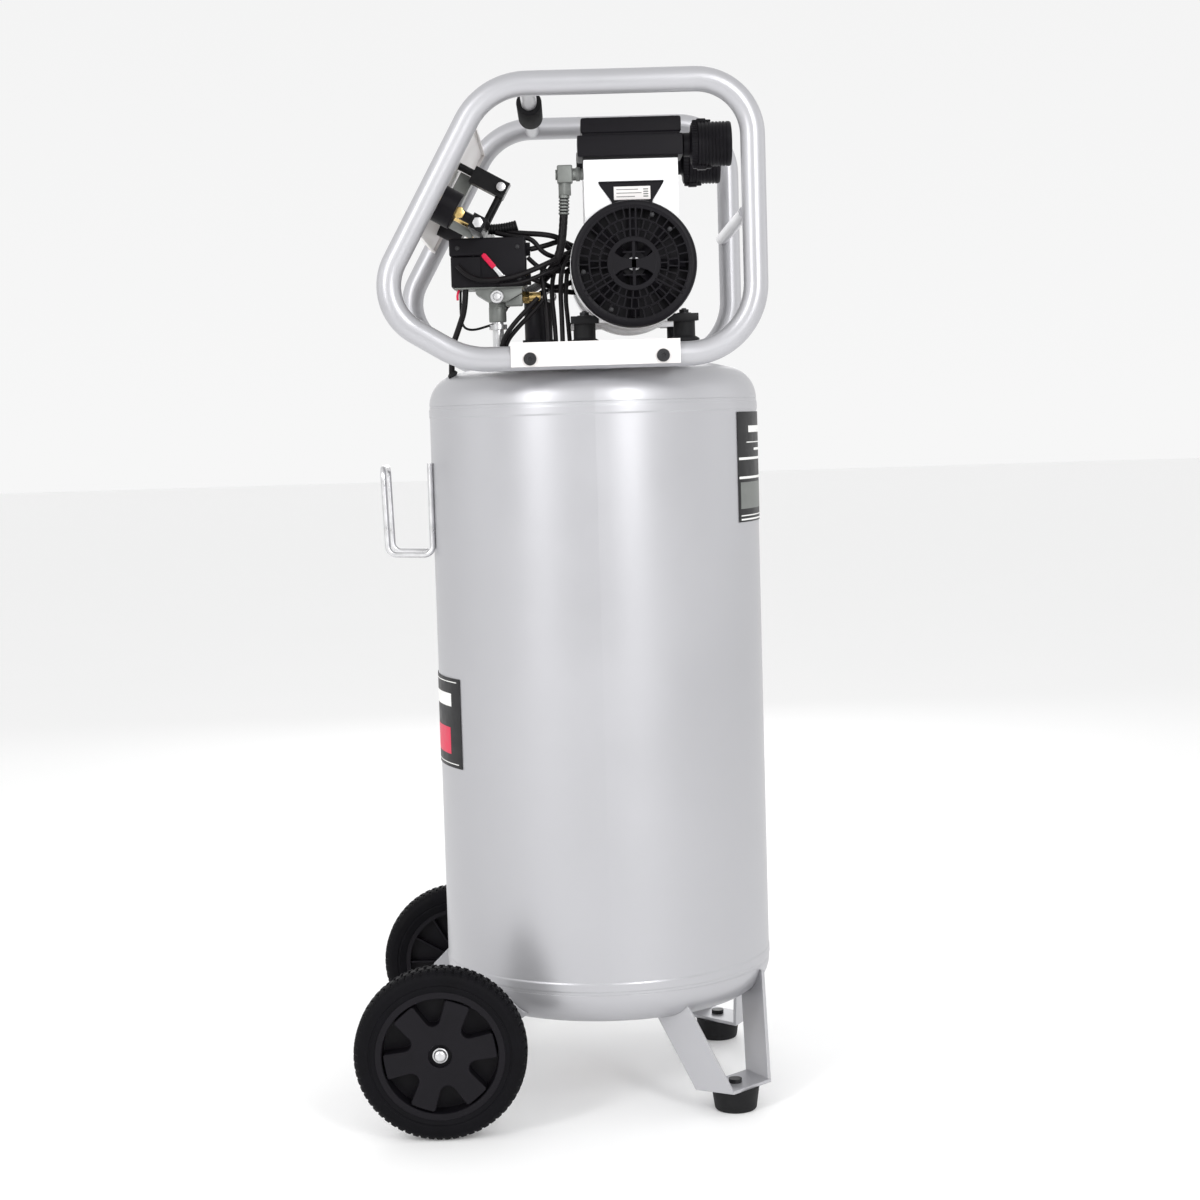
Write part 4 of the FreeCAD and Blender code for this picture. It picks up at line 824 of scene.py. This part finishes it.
def switch_cover():
    """A moulded cover whose lower front corner stands back from the lid line."""
    low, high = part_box("switch_cover")
    front, back = (low.y - AXIS_Y) / MM, (high.y - AXIS_Y) / MM
    bottom, top = low.z / MM, high.z / MM
    x_low, x_high = SWITCH_X - SWITCH_HALF, SWITCH_X + SWITCH_HALF
    step = front + STEP_BACK
    inset = 1.4
    piece = Piece()
    upper = [(front, LID_LINE), (front, top), (back, top), (back, bottom), (step, bottom),
             (step, LID_LINE)]
    piece.prism(upper, x_low, x_high, SECTION, 2.6, 4)
    lower = [(front + inset, bottom), (front + inset, LID_LINE - 0.8), (step + 3, LID_LINE - 0.8),
             (step + 3, bottom)]
    piece.prism(lower, x_low + inset, x_high - inset, SECTION, 2, 3)
    piece.publish("moulded_switch_cover", "black_plastic", ["switch_cover"])
    screws = Piece()
    for y, z in ((front + 10, top - 12), (back - 10, top - 12), (back - 9, bottom + 9)):
        screw_head(screws, facing(at(x_high - 0.4, y, z), RIGHT), 3)
    screws.publish("cover_screws_switch", "black_bolt")


LEVER_LEAN = 130
LEVER_EYE = 3.1
RED_START = 16


def switch_lever():
    """A flat zinc arm with a red moulded grip, leaning back from its pin."""
    pivot = Vector(joint_where("child", "switch_lever")["pos_m"])
    pivot.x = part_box("switch_lever")[0].x
    where = turned_by(facing(pivot, RIGHT), LEVER_LEAN)
    arm = Piece()
    outline = [polar(LEVER_EYE, 60 + 20 * k) for k in range(13)]
    outline += [(RED_START + 2, -2.2), (RED_START + 2, 2.2)]
    arm.prism(outline, 0.3, 2.5, where, 0.5)
    arm.peg(2.3, -1.5, 3.4, where, 24, (0.6, 0.4))
    arm.publish("lever_arm", "zinc", ["switch_lever"], "switch_lever")
    grip = Piece()
    outline = mirrored([(RED_START, -2.6), (RED_START + 1, -3.1), (35, -3.1), (37, -1.8)])
    grip.prism(outline, 0, 3.4, where, 1.1, 3)
    grip.publish("lever_grip", "red_lever", body="switch_lever")


def switch_base():
    """The cast flange under the cover, its neck, the boss of the port and the relief port."""
    x, y = SWITCH_X, -113
    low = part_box("switch_cover")[0].z / MM
    piece = Piece()
    piece.prism([(-163, low), (-163, low - 2.4), (-80, low - 2.4), (-80, low)], x - 29, x + 29,
                SECTION, 0.6, 1)
    piece.prism([(-138, low - 1), (-138, low - 8), (-121, 978), (-101, 978), (-82, low - 8.5),
                 (-82, low - 1)], x - 25.5, x + 25.5, SECTION, 1.4, 2)
    piece.block((x - 12, -103, 974), (x + 12, -82.2, 994), SITE, 1.6)
    piece.lathe([(5.1, -1), (10, -1), (10.6, 0.2), (10.6, 16.5), (9.6, 17.8), (5.1, 17.8)],
                moved_by(SITE, x, y, 956), 48)
    piece.hexagon(11.6, 971, 978.5, moved_by(SITE, x, y, 0), 0.5)
    piece.publish("cast_switch_base", "die_cast", ["switch_base"])
    boss = Piece()
    spot = facing(at(x + 25.2, -112.4, 984.6), RIGHT)
    boss.lathe([(0, -2), (8.2, -2), (8.2, 2.2), (7.4, 3), (5, 3), (4.6, 2), (0, 2)], spot, 32)
    boss.hexagon(4.4, 2, 4.6, spot, 0.3)
    boss.publish("port_plug", "zinc")
    pin = Piece()
    pin.peg(2.4, 0, 15.6, facing(at(x + 22, -104, 1006.7), RIGHT), 24, (0.5, 0.6))
    pin.publish("lever_pin", "zinc")


# ---- hoses and leads

BRAID_DEPTH, BRAID_PITCH = 0.28, 0.9
RIB_DEPTH, RIB_TURN = 0.45, 1.9


def braid(angle, travelled):
    """Crossing ridges of a woven sleeve."""
    along = travelled * BRAID_PITCH
    return BRAID_DEPTH * max(math.sin(5 * angle + along), math.sin(5 * angle - along))


def ribs(angle, travelled):
    """Even rings of a corrugated sleeve."""
    return RIB_DEPTH * math.sin(travelled * RIB_TURN)


CHECK_X, CHECK_Y, CHECK_TOP = -35, -115.7, 944.1
OUTLET_X, OUTLET_Y = 86, -27
HOSE_PLACES = [(86, -28, 1102), (86, -30, 1050), (80, -42, 1018), (45, -58, 1004), (8, -66, 998),
               (-34, -94, 992), (CHECK_X, CHECK_Y, 968), (CHECK_X, CHECK_Y, CHECK_TOP)]
# where each crimp starts, which way it runs and its length
CRIMPS = (
    ("upper", (86, -28, 1102.6), (0, -0.04, -1), 24),
    ("lower", (CHECK_X, CHECK_Y, CHECK_TOP + 0.2), UP, 20),
)
CRIMP_PITCH = 3.8


def discharge():
    """Elbow, crimp and braided hose of the right pump, and the tube that joins the two heads."""
    elbow = Piece()
    elbow.block((76.2, -35.8, 1116.2), (95.8, -17.2, 1137.8), SITE, 2.6, 3)
    face = facing(at(OUTLET_X, -17.4, 1127), BACK)
    elbow.lathe([(0, -2), (7.4, -2), (7.4, 4), (6.8, 4.6), (6.8, 13.2), (0, 13.2)], face, 36)
    elbow.hexagon(9.2, 4.2, 9, face)
    elbow.hexagon(8.6, 1102.4, 1116.6, moved_by(SITE, OUTLET_X, OUTLET_Y, 0))
    elbow.lathe([(0, 2), (6.2, 2), (6.2, 0.4), (5.6, -0.2), (0, -0.2)],
                facing(at(OUTLET_X, -35.7, 1127), -BACK), 32)
    elbow.publish("outlet_elbow", "die_cast", ["discharge_tubes"])
    hose = Piece()
    hose.tube(smooth_path(HOSE_PLACES, 40), 4.9, 30, braid)
    hose.publish("braided_hose", "cable", smooth=60)
    for name, base, out, length in CRIMPS:
        crimp = Piece()
        where = facing(at(*base), out, BACK)
        crimp.peg(6.6, 0, 4, where, ease=(0.6, 0.6))
        height = 5.4
        while height < length:
            crimp.lathe([(4.6, height), (6.2, height), (6.4, height + 0.5), (6.4, height + 1.7),
                         (6.2, height + 2.2), (4.6, height + 2.2)], where, 32)
            height += CRIMP_PITCH
        crimp.publish(f"hose_crimp_{name}", "die_cast")
    link = Piece()
    where = facing(at(-45.8, 52, 1164), RIGHT)
    link.peg(5.9, 0, 91.6, where)
    for low in (0.2, 82.1):
        link.hexagon(8.8, low, low + 9.3, where, 0.6)
    link.publish("link_tube", "steel")


# radius, then the places of a strand from its start to its end
STRANDS = [
    (3.4, [(58, -114, 1067), (60, -101, 1064), (62, -83, 1061), (62, -52, 1059), (60, -34, 1054),
        (56, -25, 1042), (46, -12, 1030)]),
    (3, [(66, -112, 1062), (69, -89, 1056), (71, -68, 1054), (70, -57, 1037), (64, -40, 1030),
        (48, -14, 1022)]),
    (2.8, [(74, -74, 1031), (75, -66, 1022), (74, -50, 1012), (60, -33, 1015), (46, -10, 1012)]),
    (3.2, [(94, -158, 1022), (96, -152, 1013), (98, -132, 1003), (99, -103, 1004), (97, -79, 1010),
        (92, -45, 1024), (58, -20, 1039), (46, -9, 1040)]),
    (2.6, [(96, -108, 998), (97, -94, 998), (94, -74, 1002), (90, -45, 1014), (58, -22, 1025),
        (48, -12, 1026)]),
    (2.8, [(48, -13, 1024), (66, -45, 1029), (71, -59, 1016), (71, -56, 992), (70, -52, 956),
        (70, -52, 924)]),
    (2.8, [(48, -11, 1020), (62, -37, 1025), (64, -44, 1011), (64, -47, 986), (63, -44, 956),
        (63, -43, 924)]),
    (3, [(48, -11, 1030), (74, -26, 1034), (77, -34, 1014), (75, -36, 991), (74, -35, 957),
        (74, -35, 924)]),
    (2.8, [(46, -11, 1016), (56, -26, 1020), (57, -28, 1006), (56, -30, 980), (56, -28, 958),
        (56, -26, 924)]),
    (2.9, [(82, -63, 982), (82, -76, 969), (82, -93, 952), (80, -105, 936), (77, -110, 922),
        (72, -104, 914), (66, -88, 913), (62, -74, 914)]),
    (2.9, [(77, -57, 980), (77, -71, 964), (77, -89, 947), (75, -102, 932), (71, -105, 920),
        (66, -99, 912), (58, -86, 913), (54, -74, 914)]),
]
LOOSE_WIRES = {
    "brown": ("foam", [(60, -157, 994), (60, -158, 972), (60, -157, 956), (60, -153, 948),
                       (60, -142, 946), (60, -124, 951), (60, -117, 953)]),
    "red": ("red_lever", [(75, -158, 994), (76, -161, 989), (78, -160, 982)]),
}
LOOSE_WIRE_RADIUS = 1.5
MOTOR_Y, MOTOR_Z = 52, 1016
TRAY_TOP = 924.1
SUPPLY_END = (62, -171, 893.5)
CAN_ENDS = ((24, -8.8, 1043.1), (26, -14.2, 1009), (14, -9.75, 991.05))


def leads():
    """Leads of the switch and the motor, the supply lead and the pilot hose."""
    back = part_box("switch_cover")[1].y / MM - AXIS_Y / MM
    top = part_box("capacitor")[1].z / MM
    routes = [
        (3.2, [(70, back + 5.2, 1041), (68, back + 22, 1044), (52, -34, 1052), (32, -16.8, 1045.1),
               CAN_ENDS[0]]),
        (3.2, [(70, back + 5.2, 1006), (68, back + 18, 1001), (54, -46, 994), (36, -23.2, 1000),
               CAN_ENDS[1]]),
        (3.2, [(33, -64, top + 0.3), (33, -64, 991), (28, -40, 994), (18, -19.75, 990), CAN_ENDS[2]]),
        (3.6, [(80, -150, 996.2), (80, -151, 972), (77, -160, 948), (68, -170, 924), SUPPLY_END]),
        (3.2, [(30, -113, 984), (14, -114, 985), (-2, -119, 1000), (-8, -128, 1026),
               (-8, -134, 1046), (-8, -135, 1058.2)]),
    ]
    piece = Piece()
    for radius, places in routes:
        piece.tube(smooth_path(places), radius, 16)
    piece.publish("main_leads", "cable", ["cables"], smooth=60)
    bundle = Piece()
    for radius, places in STRANDS:
        bundle.tube(smooth_path(places), radius, 14)
    bundle.publish("lead_bundle", "cable", smooth=60)
    grommets = Piece()
    for x, y in ((70, -51.7), (63, -43.3), (74, -34.8), (56, -26.3)):
        grommets.peg(5.6, -0.5, 2.6, moved_by(SITE, x, y, TRAY_TOP), 24, (1.2, 1.4))
    grommets.peg(6.4, -4, 2.2, facing(at(*SUPPLY_END), (0.3, -0.8, 0.55)), 24, (1.2, 3.2))
    for x, y, z in CAN_ENDS:
        out = (0, y - MOTOR_Y, z - MOTOR_Z)
        grommets.peg(6.6, -3.4, 1.6, facing(at(x, y, z), out), 24, (1.6, 3))
    grommets.publish("lead_grommets", "rubber")
    cover = Piece()
    cover.prism([(-21, 1006), (-21, 1042), (-14, 1048), (0, 1048), (-4, 1034), (-8, 1016),
                 (-4, 1000), (-14, 1000)], 33, 49.4, SECTION, 1.6, 3)
    cover.publish("terminal_cover", "black_plastic")
    for name, (slot, places) in LOOSE_WIRES.items():
        wire = Piece()
        wire.tube(smooth_path(places), LOOSE_WIRE_RADIUS, 12)
        wire.publish(f"wire_{name}", slot, smooth=60)


# ---- control panel

GAUGE_X = 130


def panel_fittings():
    """Hexagons of the gauges, plugs of the air manifold and the plug of the wiring sleeve."""
    brass = Piece()
    for way in (1, -1):
        brass.hexagon(7, -38, -31.2, moved_by(CONTROL, way * GAUGE_X, 0, 0))
        tee = facing(CONTROL @ Vector((way * (GAUGE_X + 1), 0, -35)), way * RIGHT)
        brass.peg(5.4, 0, 8.5, tee, 28)
        brass.hexagon(7.4, 7, 14, tee, 0.9)
    brass.publish("gauge_tees", "brass")
    zinc = Piece()
    zinc.hexagon(6.6, 0, 5.4, facing(CONTROL @ Vector((140.2, 0, -60)), RIGHT), 0.6)
    cap = facing(CONTROL @ Vector((44.2, 57, -58)), RIGHT)
    zinc.lathe([(0, -1), (6.4, -1), (6.4, 2.6), (5.4, 4.2), (2.6, 4.8), (0, 4.8)], cap, 32)
    zinc.hexagon(8.2, -27.6, -19.4, moved_by(CONTROL, 29, 57, 0), 0.6)
    zinc.publish("manifold_plugs", "zinc")
    sleeve = Piece()
    path = smooth_path([(60, -121, 1067), (60, -104, 1066), (60, -86, 1071)], 30)
    sleeve.tube(path, 6.2, 24, ribs)
    sleeve.publish("wiring_sleeve", "black_metal", smooth=50)


BEZEL = 25
DIAL_FACE = 6.85
MARK_LOW, MARK_HIGH = DIAL_FACE - 0.05, DIAL_FACE + 0.08
DIAL_START = 225
DIAL_SWEEP = 270
TICKS = 50
NUMBERS_REACH = 14.3
DIGIT_WIDTH, DIGIT_HEIGHT, DIGIT_PITCH = 1.2, 2.4, 2
BAR_HALF = 0.18
SEGMENTS = {
    "0": "abcdef", "1": "bc", "2": "abged", "4": "fgbc", "6": "afgedc", "8": "abcdefg",
}
SEGMENT_PLACES = {
    "a": ((0, 1), (1, 1)), "b": ((1, 0.5), (1, 1)), "c": ((1, 0), (1, 0.5)), "d": ((0, 0), (1, 0)),
    "e": ((0, 0), (0, 0.5)), "f": ((0, 0.5), (0, 1)), "g": ((0, 0.5), (1, 0.5)),
}


def number(piece, text, centre, where):
    """A plain number drawn with short bars."""
    start = centre[0] - (DIGIT_PITCH * (len(text) - 1) + DIGIT_WIDTH) / 2
    for index, digit in enumerate(text):
        for bar in SEGMENTS[digit]:
            low, high = [
                Vector((start + DIGIT_PITCH * index + DIGIT_WIDTH * x,
                        centre[1] + DIGIT_HEIGHT * (y - 0.5)))
                for x, y in SEGMENT_PLACES[bar]
            ]
            across = (high - low).normalized().orthogonal() * BAR_HALF
            outline = [low - across, low + across, high + across, high - across]
            piece.prism(outline, MARK_LOW, MARK_HIGH, where)


def gauges():
    """Round cases with rolled bezels, and ticks and plain numbers on the dials."""
    cases, marks, arcs = Piece(), Piece(), Piece()
    for way in (1, -1):
        where = moved_by(CONTROL, way * GAUGE_X, 0, 0)
        cases.lathe(
            [(0, -31), (21.5, -31), (22.5, -30), (22.5, 2.1), (BEZEL - 0.6, 2.1), (BEZEL, 2.8),
             (BEZEL, 10), (BEZEL - 0.6, 11.5), (BEZEL - 1.6, 12.1), (22.5, 11.7), (22.5, 6),
             (0, 6)], where, 72,
        )
        cases.peg(5.8, -51, -30.5, where, 24)
        for index in range(TICKS + 1):
            near, half_width = (17.4, 0.24) if index % 5 == 0 else (18.9, 0.13)
            marks.block((near, -half_width, MARK_LOW), (20.4, half_width, MARK_HIGH),
                        turned_by(where, DIAL_START - DIAL_SWEEP * index / TICKS))
        for index in range(6):
            spot = polar(NUMBERS_REACH, DIAL_START - DIAL_SWEEP * index / 5)
            number(marks, str(2 * index), spot, where)
        arcs.prism(sector(20.8, 21.9, -45, 9, 16), MARK_LOW, DIAL_FACE + 0.07, where)
    cases.publish("gauge_bezels", "black_plastic", ["gauge_cases"])
    marks.publish("dial_marks", "needle")
    arcs.publish("dial_arcs", "red_lever")


KNOB_TOP = 31.3
KNOB_NECK = 11.1
KNOB_STEPS = 144
FLUTES = 12
FLUTE_DEPTH = 1.7


def regulator_knob():
    """A fluted knob with a sunk top and a white pointer."""
    reach = half_size("regulator_knob", X) - 0.1

    def flute(radius, height, step):
        if radius < reach - 3.4:
            return 0
        return -FLUTE_DEPTH * max(0, math.cos(2 * math.pi * step * FLUTES / KNOB_STEPS)) ** 2

    cap = Piece()
    cap.lathe([(KNOB_NECK, 8.2), (reach - 0.8, 8.2), (reach, 9), (reach, 26),
               (reach - 0.8, 28.2), (reach - 3, KNOB_TOP), (12.4, KNOB_TOP),
               (11.6, KNOB_TOP - 1.1), (KNOB_NECK, KNOB_TOP - 1.3)], CONTROL, KNOB_STEPS, flute)
    cap.peg(KNOB_NECK + 0.2, 21, KNOB_TOP - 1.2, CONTROL, 48)
    cap.publish("fluted_knob", "black_plastic", ["regulator_knob"], "regulator_knob")
    mark = Piece()
    mark.block((-0.6, 12.9, KNOB_TOP - 0.3), (0.6, 16.6, KNOB_TOP + 0.12), CONTROL, 0.1, 1)
    mark.publish("knob_pointer", "dial_white", body="regulator_knob")


SLEEVE_START = 9
KNURL_DEPTH = 0.45


def coupler_sleeve(name, side):
    """A turned sleeve with two knurled bands."""
    node = f"coupler_sleeve_{name}"
    where = moved_by(CONTROL, middle(node).x / MM, 0, SLEEVE_START)

    def knurl(radius, height, step):
        return -KNURL_DEPTH if radius > 12.4 and step % 3 == 0 else 0

    piece = Piece()
    piece.lathe([(7.1, 0), (10.8, 0), (11.4, 0.6), (12, 1), (12.5, 1.5), (12.5, 4),
                 (12, 4.5), (11.3, 5), (11.3, 8), (12, 8.5), (12.5, 9), (12.5, 10.3),
                 (11.5, 11.3), (8.2, 11.3), (7.1, 10.4)], where, 96, knurl)
    piece.publish(f"knurled_sleeve_{name}", "steel", [node], f"sleeve_{name}", 30)


# ---- handle, mounts and labels

def foam_grip():
    """A soft tube with rounded ends round the handle bar."""
    radius, half = half_size("handle_grip", Z), half_size("handle_grip", X)
    inner = half_size("top_crossbar", Z) + 0.05
    left = [(inner, -half), (radius - 2.6, -half), (radius - 0.9, -half + 0.8), (radius, -half + 2.6)]
    piece = Piece()
    piece.lathe(mirrored(left), facing(middle("handle_grip"), RIGHT), 64)
    piece.publish("rounded_grip", "foam", ["handle_grip"])


FOOT_TOP = 955
PLATE_TOP = FOOT_TOP + 2.6
# front edge, back edge and bolt of the two plates on each side
PLATES = ((-24.6, 9, -8), (91, 128.6, 112))


def mount_plates():
    """Black clamp plates with nuts over the ends of the crankcase feet."""
    plates, nuts = Piece(), Piece()
    for side in (1, -1):
        x_low, x_high = sorted((side * 71.2, side * 103.2))
        lip_low, lip_high = sorted((side * 102.1, side * 103.6))
        for y_low, y_high, bolt in PLATES:
            plates.block((x_low, y_low, FOOT_TOP + 0.05), (x_high, y_high, PLATE_TOP), SITE, 0.6)
            plates.block((lip_low, y_low, 948.4), (lip_high, y_high, FOOT_TOP + 2.4), SITE, 0.5)
            spot = moved_by(SITE, side * 87, bolt, PLATE_TOP)
            nuts.peg(8.5, -0.2, 1.2, spot)
            nuts.hexagon(6.4, 1.2, 5, spot)
            nuts.peg(3, 4.6, 6.6, spot, 20, (0.6, 0.6))
    plates.publish("mount_plates", "black_metal")
    nuts.publish("mount_nuts", "black_bolt")


PATCH_STEP = 1.5


def patch(piece, start, end, low, high, inner, outer):
    """A thin sheet that follows the tank between two headings and two heights."""
    count = max(2, int(abs(end - start) / PATCH_STEP))
    loops = []
    for step in range(count + 1):
        heading = start + (end - start) * step / count
        section = ((inner, low), (outer, low), (outer, high), (inner, high))
        loops.append([(*polar(reach, heading), height) for reach, height in section])
    piece.rings(loops, SITE)


# name, slot, layer, then for each sheet: start and end heading, bottom and top
STICKERS = [
    ("front_label", "black_metal", 0, [(-57.6, -122.4, 415, 525)]),
    ("front_bar", "dial_white", 1, [
        (-64.5, -115.5, 490, 506), (-93, -115, 431, 435), (-93, -111, 440, 444),
        (-93, -114, 449, 453), (-93, -106, 458, 462), (-60, -120, 419, 420.2),
        (-60, -120, 519.8, 521),
    ]),
    ("front_red_field", "red_lever", 1, [(-66, -90, 431, 464)]),
    ("rear_label", "black_metal", 0, [(57, 123, 705, 838)]),
    ("rear_bands", "dial_white", 1, [
        (57.6, 122.4, 780, 783), (57.6, 122.4, 757, 760), (66, 114, 813, 821),
        (72, 108, 791, 794), (64, 116, 800.4, 801.6), (58.5, 121.5, 707, 709),
        (58.5, 121.5, 712, 713.4),
    ]),
    ("rear_field", "die_cast", 1, [(58.5, 121.5, 721, 753)]),
]


def stickers():
    """The two wrapped labels, with plain fields where the printing was."""
    radius = TANK_HIGH.x / MM
    for name, slot, layer, sheets in STICKERS:
        piece = Piece()
        inner, outer = radius + 0.04 + 0.2 * layer, radius + 0.24 + 0.1 * layer
        for start, end, low, high in sheets:
            patch(piece, start, end, low, high, inner, outer)
        piece.publish(name, slot, smooth=20)


for name, side in (("right", 1), ("left", -1)):
    for make in (tyre, rim, axle_cap, fan_cover, pump_head, air_filter, shroud, coupler_sleeve):
        make(name, side)
for make in (switch_cover, switch_lever, switch_base, discharge, leads, panel_fittings, motor,
             gauges, regulator_knob, foam_grip, mount_plates, stickers):
    make()

photo_camera()
studio()
floor(FLOOR_MATERIAL)
